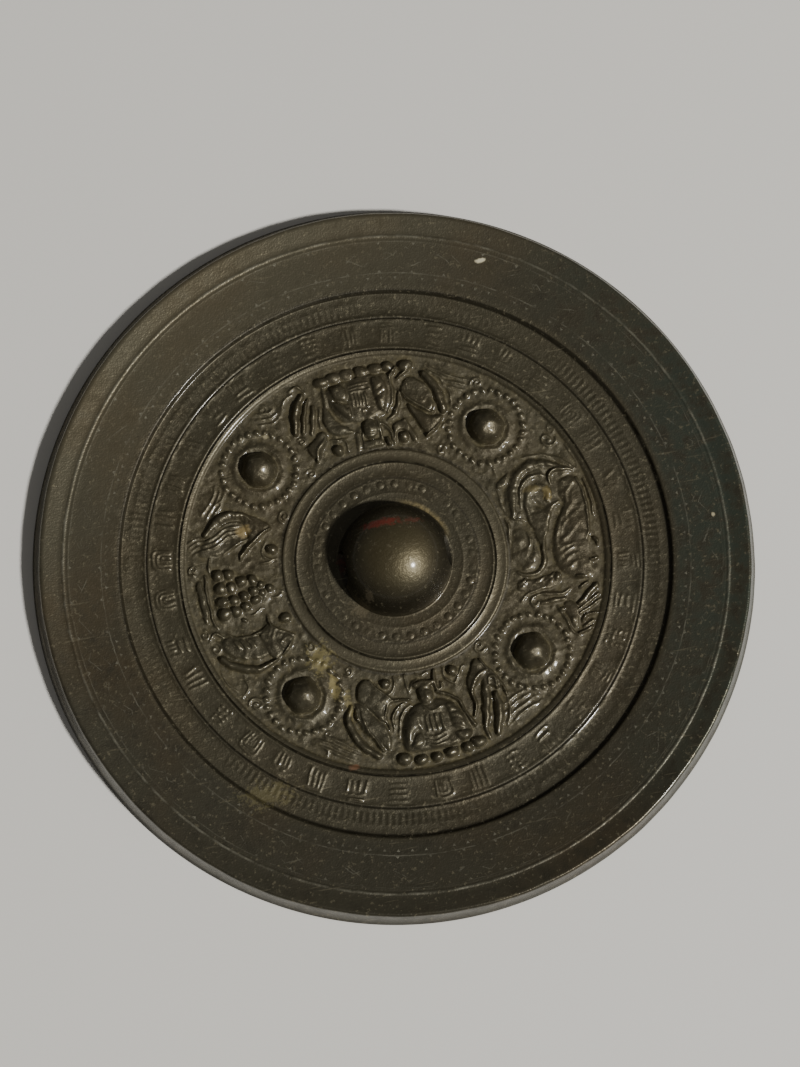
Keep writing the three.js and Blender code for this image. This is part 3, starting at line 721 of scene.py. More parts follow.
plate = {
    "rimTop": 7.3,                # mm above the polished face, as the heights below are
    "borderHeight": 6.35,         # the broad border, at its outer edge
    "borderFall": 0.95,           # mm, how far it slopes down towards the relief
    "borderShift": (0.3, -0.35),  # mm, how far the border was turned off the centre of the relief
    "stepRadius": 73.9,           # mm, where the border drops to the bands
    "bandHeight": 3.5,
    "groundHeight": 3.0,
    "platformHeight": 3.6,
    "knobRadius": 15.3,
    "knobFillet": 0.35,           # mm, at the foot of the knob
    "combTeeth": 256,
    "combZone": (67.5, 71.3),     # mm from the centre
    "combHeight": 0.16,
    "borderDents": 132,           # a row of small triangular dents inside the border
    "dentZone": (76.6, 77.9),     # mm from the centre
    "dentDepth": 0.04,
    "pearls": 34,                 # round the knob
    "pearlRadius": 20.7,          # mm, the ring that they stand on
    "pearlSize": 1.0,             # mm, the radius of one
    "pearlHeight": 0.13,
    "crownDrop": 0.05,            # mm, how far the knob stays under the very top
    "carvedZone": (15.9, 79.9),   # mm from the centre, where the mesh is thinned out to fit the relief
    "triangles": 189000,
    "evenness": 0.998,            # under 1 keeps the triangles of flat parts from growing too long
    "sharpest": 62.0,             # degrees, the edges that stay sharp
    "fineEdge": 80.2,             # mm from the centre, where the fine rings end
    "fineStep": 0.2,              # mm between them
    "fineSpokes": 1536,           # points round each of them
    "plainSpokes": 512,           # points round the rim
    "knobSpokes": 192,
}

# Lines that run all the way round: radius, width and height in mm. A negative height is a groove
turnedLines = (
    (18.3, 0.7, 0.08), (22.45, 1.2, 0.06), (22.45, 0.8, -0.11), (26.9, 0.6, -0.45), (57.85, 3.0, 0.32),
    (57.85, 0.6, -0.48), (66.5, 2.0, 0.3), (66.5, 0.6, -0.34), (87.7, 0.6, 0.04), (88.9, 1.0, 0.12),
)


def plateHeight(r):
    # The turned profile of the back, without the knob: radius to height, in mm
    p = plate
    border, band, ground = p["borderHeight"], p["bandHeight"], p["groundHeight"]
    platform, step = p["platformHeight"], p["stepRadius"]
    inner = border - p["borderFall"]
    profile = (
        (0, platform + 0.1), (22.2, platform + 0.1), (22.9, platform + 0.04), (23.7, platform - 0.06),
        (24.5, platform - 0.09), (25.3, platform - 0.06), (26.0, platform + 0.04), (26.4, platform + 0.2),
        (27.2, platform + 0.19), (27.6, platform + 0.04), (28.2, platform - 0.07), (28.8, platform - 0.1),
        (29.5, platform - 0.02), (30.0, platform + 0.06), (30.45, ground + 0.02), (30.9, ground),
        (56.0, ground), (56.6, band - 0.05), (66.8, band), (70.2, band + 0.04), (71.1, band + 0.28),
        (73.1, band + 0.32), (step - 0.45, band + 0.42), (step - 0.1, inner - 0.75),
        (step + 0.2, inner - 0.1), (step + 0.6, inner), (88.2, border), (89.4, border + 0.08),
        (94.2, p["rimTop"] - 0.03), (98, p["rimTop"]),
    )
    z = np.interp(r, [s[0] for s in profile], [s[1] for s in profile])
    for radius, width, height in turnedLines:
        z = z + height * np.clip(1 - ((r - radius) / (width / 2)) ** 2, 0, 1) ** 1.2
    return z


def sampleMap(field, c, x, y):
    # The map's value between its cells, at places in mm
    gx = np.clip((x + c.reach) / c.cell, 0, field.shape[1] - 1.001)
    gy = np.clip((y + c.reach) / c.cell, 0, field.shape[0] - 1.001)
    i, j = gx.astype(int), gy.astype(int)
    fx, fy = gx - i, gy - j
    return ((field[j, i] * (1 - fx) + field[j, i + 1] * fx) * (1 - fy)
            + (field[j + 1, i] * (1 - fx) + field[j + 1, i + 1] * fx) * fy)


def wander(x, y, amount):
    # A slow sideways drift, so that no cut line is quite true
    wx = np.sin(x * 0.71 + 1.3 * np.sin(y * 0.37)) + 0.5 * np.sin(y * 1.53 + 0.4 * x)
    wy = np.sin(y * 0.67 + 1.1 * np.sin(x * 0.41) + 2) + 0.5 * np.sin(x * 1.61 - 0.5 * y)
    return x + amount * wx, y + amount * wy


def unevenness(x, y):
    # The slight waviness of a cast skin, in mm
    return (0.016 * np.sin(x * 0.31 + 2 * np.sin(y * 0.13)) * np.sin(y * 0.27 + 2 * np.sin(x * 0.11))
            + 0.008 * np.sin(x * 1.3 + 1.7 * np.sin(y * 0.7)) * np.sin(y * 1.1 + 1.9 * np.sin(x * 0.6)))


def ringDetail(r, a):
    # Comb teeth, border dents and the pearls round the knob, which all follow the circle
    p = plate
    combWorn = np.clip(0.55 + 0.4 * np.sin(a * 3 + 1) + 0.25 * np.sin(a * 11 + 2), 0.1, 1)
    tooth = (0.5 + 0.5 * np.cos(a * p["combTeeth"] + 0.6 * np.sin(a * 9))) ** 0.8
    inner, outer = p["combZone"]
    inZone = np.clip((r - inner) / 0.5, 0, 1) * np.clip((outer - r) / 0.5, 0, 1)
    z = p["combHeight"] * combWorn * tooth * inZone
    inner, outer = p["dentZone"]
    pitch = 2 * math.pi / p["borderDents"]
    beside = np.abs((a / pitch) % 1 - 0.5) * pitch * r
    inward = np.clip((outer - r) / 1.3, 0, 1)
    dent = np.clip(1.3 - beside / (0.6 * (1 - inward) + 0.02), 0, 1)
    z = z - p["dentDepth"] * dent * (r < outer) * (r > inner)
    # each pearl is a low dome with a groove round it
    pitch = 2 * math.pi / p["pearls"]
    away = np.hypot(((a / pitch) % 1 - 0.5) * pitch * r, r - p["pearlRadius"]) / p["pearlSize"]
    pearlWorn = np.clip(0.62 + 0.3 * np.sin(a * 2 + 4) + 0.25 * np.sin(a * 13 + 1), 0.15, 1)
    dome = p["pearlHeight"] * np.clip(1 - away ** 2, 0, 1) ** 0.5
    groove = p["pearlHeight"] * np.clip(1 - np.abs(away - 1.15) / 0.4, 0, 1)
    return z + pearlWorn * (dome - groove)


def surfaceHeight(c, r, a):
    # The whole back without the knob: profile, details, relief and the unevenness of the casting
    x, y = r * np.cos(a), r * np.sin(a)
    wx, wy = wander(x, y, reliefMap["wander"])
    near = (np.abs(wx) < c.reach) & (np.abs(wy) < c.reach)
    relief = np.where(near, sampleMap(c.height, c, wx, wy), 0)
    return plateHeight(r) + ringDetail(r, a) + relief + unevenness(x, y)


def bandOfFaces(inner, innerCount, outer, outerCount):
    # Faces between two rings of points, whose counts may differ by a whole factor
    if innerCount == outerCount:
        k = np.arange(innerCount)
        n = (k + 1) % innerCount
        return np.stack([inner + k, outer + k, outer + n, inner + n], 1), np.zeros((0, 3), int)
    coarse, fine = (inner, outer) if innerCount < outerCount else (outer, inner)
    coarseCount, fineCount = min(innerCount, outerCount), max(innerCount, outerCount)
    share = fineCount // coarseCount
    faces = []
    for k in range(coarseCount):
        nextCoarse = (k + 1) % coarseCount
        for s in range(share):
            here = fine + (k * share + s) % fineCount
            ahead = fine + (k * share + s + 1) % fineCount
            tip = coarse + (k if s < share // 2 else nextCoarse)
            faces.append((tip, here, ahead))
            if s == share // 2:
                faces.append((coarse + k, here, coarse + nextCoarse))
    faces = np.array(faces)
    if innerCount > outerCount:
        faces = faces[:, ::-1]
    return np.zeros((0, 4), int), faces


def knobRings():
    # A steep dome with a small fillet at its foot: (radius, height) from the top down
    p = plate
    top = frameSize["top"] / mm - p["crownDrop"]
    rise = top - p["platformHeight"]
    ball = (p["knobRadius"] ** 2 + rise ** 2) / (2 * rise)
    foot = math.acos(1 - (rise - p["knobFillet"]) / ball)
    rings = [(ball * math.sin(t), top - ball * (1 - math.cos(t))) for t in np.linspace(0.02, foot, 44)]
    last = rings[-1][0]
    return rings + [(last + 0.08, p["platformHeight"] + 0.22), (last + 0.25, p["platformHeight"] + 0.14)]


def buildSkin(c):
    # Rings from the centre of the knob, over the rim and down the side, to the centre of the face
    p = plate
    outer = frameSize["radius"] / mm
    top = p["rimTop"]
    rings = [("knob", r, z, p["knobSpokes"]) for r, z in knobRings()]
    start = rings[-1][1] + 0.15
    rings += [("back", r, None, p["fineSpokes"]) for r in np.arange(start, p["fineEdge"], p["fineStep"])]
    border = (80.5, 82, 84, 86, 87.3, 87.5, 87.7, 87.9, 88.3, 88.5, 88.7, 88.9, 89.1, 89.3, 89.5, 90.6, 91.8,
              93, 93.8, 94.2)
    side = ((94.5, top - 0.05), (94.8, top - 0.18), (95.0, top - 0.42), (95.12, top - 0.8), (95.55, 4.2),
            (96.1, 2.6), (96.7, 1.1), (outer - 0.06, 0.75), (outer, 0.45), (outer - 0.1, 0.2),
            (outer - 0.3, 0.05), (outer - 0.55, 0.0))
    rings += [("back", r, None, p["plainSpokes"]) for r in border]
    rings += [("side", r, z, p["plainSpokes"]) for r, z in side]
    rings += [("face", r, 0.0, p["plainSpokes"] // 4) for r in (90, 70, 45, 20, 6)]
    points, starts = [], []
    total = 0
    for kind, r, z, count in rings:
        a = np.arange(count) * 2 * math.pi / count
        radius = np.full(count, r)
        if kind == "back":
            height = surfaceHeight(c, radius, a)
        else:
            height = np.full(count, z)
        if kind == "knob":
            # the knob is a little out of round
            radius = radius * (1 + 0.006 * np.sin(a * 2 + 0.7) + 0.003 * np.sin(a * 5))
            height = height - 0.05 * np.sin(a * 3 + z * 0.6) * min(r / 15, 1)
        if kind == "side" and z > 1:
            # the worn edge is never quite round
            radius = radius + 0.07 * np.sin(a * 5 + 1) + 0.05 * np.sin(a * 17) + 0.03 * np.sin(a * 53)
        # the border lies a little off the centre of the relief
        off = np.clip((r - 72) / 2, 0, 1) if kind == "back" else (0.6 if kind == "side" and z > 1 else 0)
        x = radius * np.cos(a) + off * p["borderShift"][0]
        y = radius * np.sin(a) + off * p["borderShift"][1]
        points.append(np.stack([x, y, height], 1))
        starts.append(total)
        total += count
    centreTop, centreFace = total, total + 1
    points.append(np.array([[0, 0, frameSize["top"] / mm - p["crownDrop"]], [0, 0, 0]]))
    counts = [ring[3] for ring in rings]
    bands = [bandOfFaces(*pair) for pair in zip(starts[:-1], counts[:-1], starts[1:], counts[1:])]
    quads = [q for q, _ in bands]
    triangles = [t for _, t in bands]
    k = np.arange(counts[0])
    triangles.append(np.stack([np.full(len(k), centreTop), k, (k + 1) % len(k)], 1))
    last = starts[-1]
    k = np.arange(counts[-1])
    triangles.append(np.stack([np.full(len(k), centreFace), last + (k + 1) % len(k), last + k], 1))
    return np.concatenate(points), np.concatenate(quads), np.concatenate(triangles)


def meshFrom(name, points, quads, triangles):
    # A mesh from arrays, in millimetres until it is finished
    mesh = bpy.data.meshes.new(name)
    mesh.vertices.add(len(points))
    mesh.vertices.foreach_set("co", points.astype(np.float32).ravel())
    mesh.loops.add(quads.size + triangles.size)
    corners = np.concatenate([quads.ravel(), triangles.ravel()])
    mesh.loops.foreach_set("vertex_index", corners.astype(np.int32))
    mesh.polygons.add(len(quads) + len(triangles))
    firsts = np.concatenate([np.arange(len(quads)) * 4, len(quads) * 4 + np.arange(len(triangles)) * 3])
    mesh.polygons.foreach_set("loop_start", firsts.astype(np.int32))
    mesh.update(calc_edges=True)
    mesh.validate()
    return mesh


def applied(piece):
    # The piece's mesh with its modifiers applied
    bpy.context.view_layer.update()
    graph = bpy.context.evaluated_depsgraph_get()
    mesh = bpy.data.meshes.new_from_object(piece.evaluated_get(graph))
    piece.modifiers.clear()
    old = piece.data
    piece.data = mesh
    bpy.data.meshes.remove(old)


cordHole = {
    "halfWidth": 4.3,    # mm
    "floor": 3.75,       # mm above the polished face
    "top": 10.4,
    "mouth": 14.6,       # mm from the centre, where the passage opens out
    "mouthFlare": 0.7,   # mm, how far its worn edges open
    "halfLength": 19.0,  # mm
    "sides": 32,         # points round the passage
}


def cordHoleCutter():
    # An arched passage along X whose mouths are rounded by wear
    h = cordHole
    mouth, sides = h["mouth"], h["sides"]
    ends = [mouth - 2.2, mouth - 1.2, mouth - 0.5, mouth + 0.4, h["halfLength"]]
    bm = bmesh.new()
    loops = []
    for x in [-end for end in reversed(ends)] + [-7, 0, 7] + ends:
        opening = h["mouthFlare"] * np.clip((abs(x) - mouth + 2.2) / 2.6, 0, 1) ** 2
        half = h["halfWidth"] + opening
        rise = h["top"] + opening - h["floor"]
        loop = []
        for k in range(sides):
            a = 2 * math.pi * k / sides
            y = half * math.copysign(abs(math.cos(a)) ** 0.8, math.cos(a))
            s = math.sin(a)
            # round above, flatter below
            z = 0.45 + (0.55 * s if s > 0 else 0.45 * math.copysign(abs(s) ** 0.6, s))
            ripple = 0.12 * math.sin(a * 3 + x * 0.9)
            loop.append(bm.verts.new((x, y + ripple, h["floor"] + rise * z)))
        loops.append(loop)
    for loop, following in zip(loops[:-1], loops[1:]):
        for k in range(sides):
            n = (k + 1) % sides
            bm.faces.new((loop[k], loop[n], following[n], following[k]))
    bm.faces.new(loops[0])
    bm.faces.new(loops[-1])
    bmesh.ops.recalc_face_normals(bm, faces=bm.faces)
    mesh = bpy.data.meshes.new("cordHoleCutter")
    bm.to_mesh(mesh)
    bm.free()
    cutter = bpy.data.objects.new("cordHoleCutter", mesh)
    bpy.context.scene.collection.objects.link(cutter)
    return cutter


def buildMirror(c):
    points, quads, triangles = buildSkin(c)
    print("skin of the casting:", len(points), "points")
    mirror = bpy.data.objects.new("bronze_mirror", meshFrom("bronze_mirror", points, quads, triangles))
    bpy.context.scene.collection.objects.link(mirror)
    # thin out the carved zone only, so that triangles stay where the relief needs them
    r = np.hypot(points[:, 0], points[:, 1])
    inner, outer = plate["carvedZone"]
    carved = np.where((r > inner) & (r < outer) & (points[:, 2] > 1))[0]
    group = mirror.vertex_groups.new(name="carved")
    group.add(carved.tolist(), plate["evenness"], "REPLACE")
    thin = mirror.modifiers.new("thin", "DECIMATE")
    thin.ratio = plate["triangles"] / (2 * len(quads) + len(triangles))
    thin.vertex_group = "carved"
    thin.vertex_group_factor = 1.0
    applied(mirror)
    cutter = cordHoleCutter()
    cut = mirror.modifiers.new("cut", "BOOLEAN")
    cut.operation = "DIFFERENCE"
    cut.solver = "MANIFOLD"
    cut.object = cutter
    applied(mirror)
    bpy.data.objects.remove(cutter)
    mirror.data.materials.clear()
    mirror.data.polygons.foreach_set("use_smooth", np.ones(len(mirror.data.polygons), bool))
    mirror.data.set_sharp_from_angle(angle=math.radians(plate["sharpest"]))
    print("casting with its cord hole:", len(mirror.data.polygons), "faces")
    return mirror


def storeValues(mesh, name, values):
    layer = mesh.attributes.new(name, "FLOAT", "POINT")
    layer.data.foreach_set("value", values.astype(np.float32))


wearAndDust = {
    "dustReach": 1.8,        # mm round a point, over which it is judged to lie in a hollow
    "wearReach": 0.5,        # mm round a point, over which it is judged to stand proud
    "fullDust": 0.6,         # mm below its surroundings, where the dust is thickest
    "fullWear": 0.16,        # mm above them, where an edge is rubbed the most
    "floor": (30.5, 56.5),   # mm from the centre, the ground between the scenes
    "floorDust": 0.4,        # the dust that it holds everywhere
    "floorDepth": 0.7,       # mm of relief that stand clear of that dust
    "handled": (1.3, 1.4),   # mm of relief where the gloss begins, and how much more brings it to its full
    "knobEdge": 15.5,        # mm from the centre
}


def markWearAndDust(mirror, c):
    # How deep or how proud each point is against its neighbourhood, for the dust, the wear and the painted
    # highlight on the edges
    w = wearAndDust
    mesh = mirror.data
    co = np.zeros(len(mesh.vertices) * 3, np.float32)
    mesh.vertices.foreach_get("co", co)
    co = co.reshape(-1, 3).astype(float)
    away = np.hypot(*np.meshgrid(c.axis, c.axis))
    whole = c.height + plateHeight(away)
    wide = blurred(whole, w["dustReach"] / c.cell)
    tight = blurred(whole, w["wearReach"] / c.cell)
    wx, wy = wander(co[:, 0], co[:, 1], reliefMap["wander"])
    r = np.hypot(wx, wy)
    near = (r < c.reach - 1) & (r > w["knobEdge"]) & (co[:, 2] > 1)
    inner, outer = w["floor"]
    low = np.clip(1 - c.height / w["floorDepth"], 0, 1) * ((away > inner) & (away < outer))
    dusty = np.clip((wide - whole) / w["fullDust"], 0, 1) + w["floorDust"] * low
    hollow, proud, raised = (np.where(near, sampleMap(field, c, wx, wy), 0)
                             for field in (dusty, whole - tight, c.height))
    onKnob = (r < w["knobEdge"]) & (co[:, 2] > plate["platformHeight"] + 1)
    start, more = w["handled"]
    storeValues(mesh, "handled", np.where(onKnob, 1.0, np.clip((raised - start) / more, 0, 1)))
    storeValues(mesh, "hollow", np.clip(hollow, 0, 1))
    storeValues(mesh, "proud", np.clip(proud / w["fullWear"], 0, 1))


def colour(code):
    # An sRGB hex value to linear red, green, blue and alpha
    parts = [int(code[i:i + 2], 16) / 255 for i in (1, 3, 5)]
    return [p / 12.92 if p <= 0.04045 else ((p + 0.055) / 1.055) ** 2.4 for p in parts] + [1.0]


def addNode(tree, kind, inputs, output=0, **settings):
    # Adds a node, sets it up, links or sets its inputs (by name or in order) and returns one output
    node = tree.nodes.new("ShaderNode" + kind)
    for key, value in settings.items():
        setattr(node, key, value)
    for key, value in inputs.items() if isinstance(inputs, dict) else enumerate(inputs):
        if isinstance(value, bpy.types.NodeSocket):
            tree.links.new(value, node.inputs[key])
        elif value is not None:
            node.inputs[key].default_value = value
    return node.outputs[output] if node.outputs else node


# Cast high-tin bronze, long buried and since cleaned and handled. Its thin patina is a dark olive grey that
# still has the metal's soft gloss. Earth stays in the hollows, and the high edges are rubbed paler.
# Over it lie painted light on one side, the knob's top, its ring and the edges, and painted shade on the
# other side, the knob's flanks, the grooves and the rim's side.
bronzeFinish = {
    "patina": "#474437",
    "patinaWarm": "#4d4433",
    # the dark spots, and also the painted shade of the dark side and of the rim's side
    "deepPatinaAndShade": "#2f2c21",
    "verdigris": "#3c453c",
    "reliefPatina": "#39331f",
    "knobTopLitPatina": "#5d5439",       # the top of the knob: painted light, also rubbed warmer by hands
    "paleWearAndLight": "#79725c",             # where the patina is thin: edges, flecks and scratches; also the painted light on the pale side, the ring and the edges
    "earth": "#463f27",
    "clay": "#756740",
    "sootAndShade": "#1c1911",             # painted shade with dark dirt, in the turned grooves and down the knob
    "clouds": 0.8,                 # how much of each shows at its strongest, from 0 to 1: the warm clouds,
    "spots": 0.75,                 # the dark spots,
    "reliefShade": 0.45,           # the browner patina of the relief,
    "paintedLightStrength": 0.42,             # the painted light of the pale side, which also stands for a thinner patina,
    "paintedShadeStrength": 0.38,             # the painted shade of the other side, which also stands for a thicker patina,
    "blueShade": 0.75,             # the blue-grey of the border at +X,
    "knobTopLightStrength": 0.42,             # the painted light on the rubbed top of the knob,
    "flankShade": 0.7,             # the painted shade down its flanks, which also stands for dirt,
    "edgeWearAndHighlight": 0.26,             # the rubbed edges with their painted highlight,
    "fleckShade": 0.55,            # the pale flecks
    "scratchShade": 0.35,          # and the scratches
    "paintedLightSide": 118.0,             # degrees, the side that gets the painted light, where the patina is also thinnest
    "paintedLightReach": (28.0, 96.0),     # mm towards that side, where the painted light begins and is strongest
    "paintedShadeReach": (10.0, -95.0),    # mm, the same for the painted shade on the other side
    "blueReach": (45.0, 90.0),     # mm along X
    "borderEdge": (74.5, 76.0),    # mm from the centre, where the border's finish takes over
    "knobTop": (11.5, 17.5),       # mm above the face, where the painted light on the knob begins and is strongest
    "knobFlank": (16.5, 11.0),     # mm above the face, where the painted shade down the knob begins and is strongest
    "knobFoot": (15.4, 14.8),      # mm from the centre
    "shadedRimSide": (96.3, 96.9),       # mm from the centre, where the painted shade and the matt finish of the side begin
    "paintedLightRing": (28.7, 2.2, 0.17),  # painted light on the ring round the knob, which is also rubbed: mm from the centre, half width, strength
    # painted shade with dirt along the turned grooves and the border's step
    "shadeAndDirtLines": (                 # mm from the centre, half width in mm, strength
        (22.45, 0.36, 0.4), (26.9, 0.42, 0.9), (30.75, 0.42, 0.6), (57.85, 0.42, 0.9), (66.5, 0.38, 0.65),
        (73.75, 0.6, 0.7)),
    # earth along the foot of the knob: mm from the centre, half width, middle and half length as parts of
    # a turn, strength
    "footEarth": (15.8, 0.9, 0.125, 0.075, 0.75),
    "metallic": 0.62,
    "borderRoughness": 0.33,
    "reliefRoughness": 0.47,
    "rubbedRoughness": 0.38,
    "handledRoughness": 0.45,
    "sideRoughness": 0.7,
    "dirtRoughness": 0.3,          # how much earth and clay add
    "sheen": 0.2,                  # the thin polish left by handling, which gives the small bright highlights
    "sheenRoughness": 0.12,
    "cloudSize": 34.0,             # mm
    "mottleSize": 4.0,             # mm
    "fleckSize": 1.1,              # mm
    "fraySize": 1.8,               # mm, the ragged edge of the clay and earth
    "grainSize": 0.45,             # mm, the sand grain of the mould, drawn a little coarse so that it shows
    "grainDepth": 0.05,            # mm
    "lumpDepth": 0.11,             # mm
    "smootherBorder": 0.45,        # how much of the lumps the border has
    "scratchPitch": 0.9,           # mm
    "scratchLength": 14.0,         # mm
    "scratchTurn": 0.6,            # radians
}

# The worn frieze on the border, now only broken pale marks: rows of small triangles, lines and zigzags
borderMarks = {
    "colour": "#8f8c7c",
    # how many, foot, tip and half width in mm
    "triangles": ((132, 77.75, 76.9, 0.5), (57, 79.0, 79.8, 0.55), (57, 87.2, 86.5, 0.6)),
    "triangleStrength": 0.6,
    # radius and half width in mm, strength
    "lines": ((78.8, 0.17, 0.36), (87.4, 0.13, 0.22), (88.95, 0.34, 0.46)),
    # how many, inner radius, height and half width in mm
    "zigzags": ((38, 80.9, 3.6, 0.16), (49, 82.6, 3.4, 0.13)),
    "zigzagStrength": 0.34,
    "bend": 0.5,       # mm, how crooked the marks are
    "bendSize": 2.0,   # mm
    "breakSize": 5.0,  # mm
}

# Clay, earth and cinnabar that stayed on: centre and half size in mm, colour, strength, fraying of the edge
deposits = (
    ((-38.4, 15.4, 4.0), (2.0, 1.7, 3.0), "#7c6a3f", 0.75, 0.4),
    ((-27.7, 39.6, 4.0), (1.0, 0.8, 3.0), "#8f8669", 0.7, 0.5),
    ((-22.6, -30.5, 4.0), (1.4, 3.6, 3.0), "#8a7e50", 0.6, 0.8),
    ((-19.6, -35.8, 4.0), (1.1, 3.6, 3.0), "#857a50", 0.55, 0.8),
    ((40.0, 12.0, 4.0), (2.3, 1.1, 3.0), "#756841", 0.5, 0.6),
    ((43.6, 10.2, 4.0), (1.2, 2.0, 3.0), "#7d6d3e", 0.55, 0.6),
    ((38.6, 75.9, 6.0), (1.5, 0.7, 3.0), "#c0b99c", 0.95, 0.5),
    ((86.0, -4.5, 6.0), (0.5, 0.6, 3.0), "#a39a7c", 0.8, 0.4),
    ((-46.0, -55.5, 4.0), (7.0, 3.2, 3.0), "#6a6238", 0.3, 1.2),
    ((-21.4, -52.3, 4.0), (1.4, 0.9, 3.0), "#7a4e33", 0.5, 0.6),
    ((-24.5, -22.5, 4.0), (3.4, 4.0, 3.0), "#857a4c", 0.5, 1.1),
    ((-11.3, -10.5, 5.0), (2.8, 3.0, 4.5), "#5c5239", 0.34, 1.1),
    ((-9.2, -9.2, 11.0), (1.0, 2.2, 5.0), "#5f5540", 0.36, 1.1),
    ((-3.0, 8.7, 15.3), (5.4, 1.25, 4.0), "#661e0c", 0.85, 0.7),
    ((5.0, 8.0, 15.2), (3.2, 0.9, 4.0), "#5a1f10", 0.5, 0.9),
    ((-13.6, 1.0, 5.5), (2.2, 2.8, 2.5), "#5c2413", 0.6, 0.9),
)


def flatPolar(tree, place, shift):
    # Distance from the mirror's axis in mm, and the turn round it from -0.5 to 0.5
    flat = addNode(tree, "VectorMath", [place, (-shift[0], -shift[1], 0)], operation="ADD")
    x, y, _ = addNode(tree, "SeparateXYZ", [flat]).node.outputs
    radius = addNode(tree, "Math", [addNode(tree, "Math", [x, x], operation="MULTIPLY"),
                                    addNode(tree, "Math", [y, y], operation="MULTIPLY")], operation="ADD")
    radius = addNode(tree, "Math", [radius, 0.5], operation="POWER")
    turn = addNode(tree, "Math", [addNode(tree, "Math", [y, x], operation="ARCTAN2"), 1 / (2 * math.pi)],
                   operation="MULTIPLY")
    return radius, turn


def lineMask(tree, value, at, half):
    # 1 where the value is at that number, fading to 0 over half
    away = addNode(tree, "Math", [value, at], operation="SUBTRACT")
    away = addNode(tree, "Math", [away], operation="ABSOLUTE")
    return addNode(tree, "MapRange", [away, half * 0.4, half * 1.3, 1.0, 0.0])


def triangleMask(tree, radius, turn, count, foot, tip, half):
    # A row of small triangles that point from foot towards tip
    step = addNode(tree, "Math", [turn, count], operation="MULTIPLY")
    step = addNode(tree, "Math", [step, 0.5], operation="PINGPONG")
    beside = addNode(tree, "Math", [step, 2 * math.pi * foot / count], operation="MULTIPLY")
    inner = addNode(tree, "MapRange", [radius, tip, foot, 0.0, half])
    inside = addNode(tree, "Math", [inner, beside], operation="SUBTRACT")
    inside = addNode(tree, "MapRange", [inside, 0.0, 0.15])
    ends = addNode(tree, "Math", [radius, foot], operation="LESS_THAN" if tip < foot else "GREATER_THAN")
    return addNode(tree, "Math", [inside, ends], operation="MULTIPLY")


def friezeMask(tree, place, mottle):
    m = borderMarks
    bend = addNode(tree, "TexNoise", [place, None, 1 / m["bendSize"]], 1)
    bend = addNode(tree, "VectorMath", [bend, (-0.5, -0.5, -0.5)], operation="ADD")
    bend = addNode(tree, "VectorMath", {0: bend, "Scale": m["bend"]}, operation="SCALE")
    bent = addNode(tree, "VectorMath", [place, bend], operation="ADD")
    radius, turn = flatPolar(tree, bent, plate["borderShift"])
    breaks = addNode(tree, "TexNoise", [place, None, 1 / m["breakSize"], 4.0, 0.65])
    whole = addNode(tree, "MapRange", [breaks, 0.38, 0.56])
    sparse = addNode(tree, "MapRange", [breaks, 0.53, 0.6])
    marks = []
    for count, foot, tip, half in m["triangles"]:
        marks.append((triangleMask(tree, radius, turn, count, foot, tip, half), whole, m["triangleStrength"]))
    for at, half, strength in m["lines"]:
        marks.append((lineMask(tree, radius, at, half), whole, strength))
    for count, inner, height, half in m["zigzags"]:
        zig = addNode(tree, "Math", [turn, count * 2], operation="MULTIPLY")
        zig = addNode(tree, "Math", [zig, 1.0], operation="PINGPONG")
        rise = addNode(tree, "Math", [zig, height], operation="MULTIPLY")
        straight = addNode(tree, "Math", [radius, rise], operation="SUBTRACT")
        marks.append((lineMask(tree, straight, inner, half), sparse, m["zigzagStrength"]))
    frieze = 0.0
    for mask, gaps, strength in marks:
        part = addNode(tree, "Math", [mask, gaps], operation="MULTIPLY")
        part = addNode(tree, "Math", [part, strength], operation="MULTIPLY")
        frieze = addNode(tree, "Math", [frieze, part], operation="MAXIMUM")
    uneven = addNode(tree, "MapRange", [mottle, 0.35, 0.6, 0.35, 1.0])
    return addNode(tree, "Math", [frieze, uneven], operation="MULTIPLY"), radius


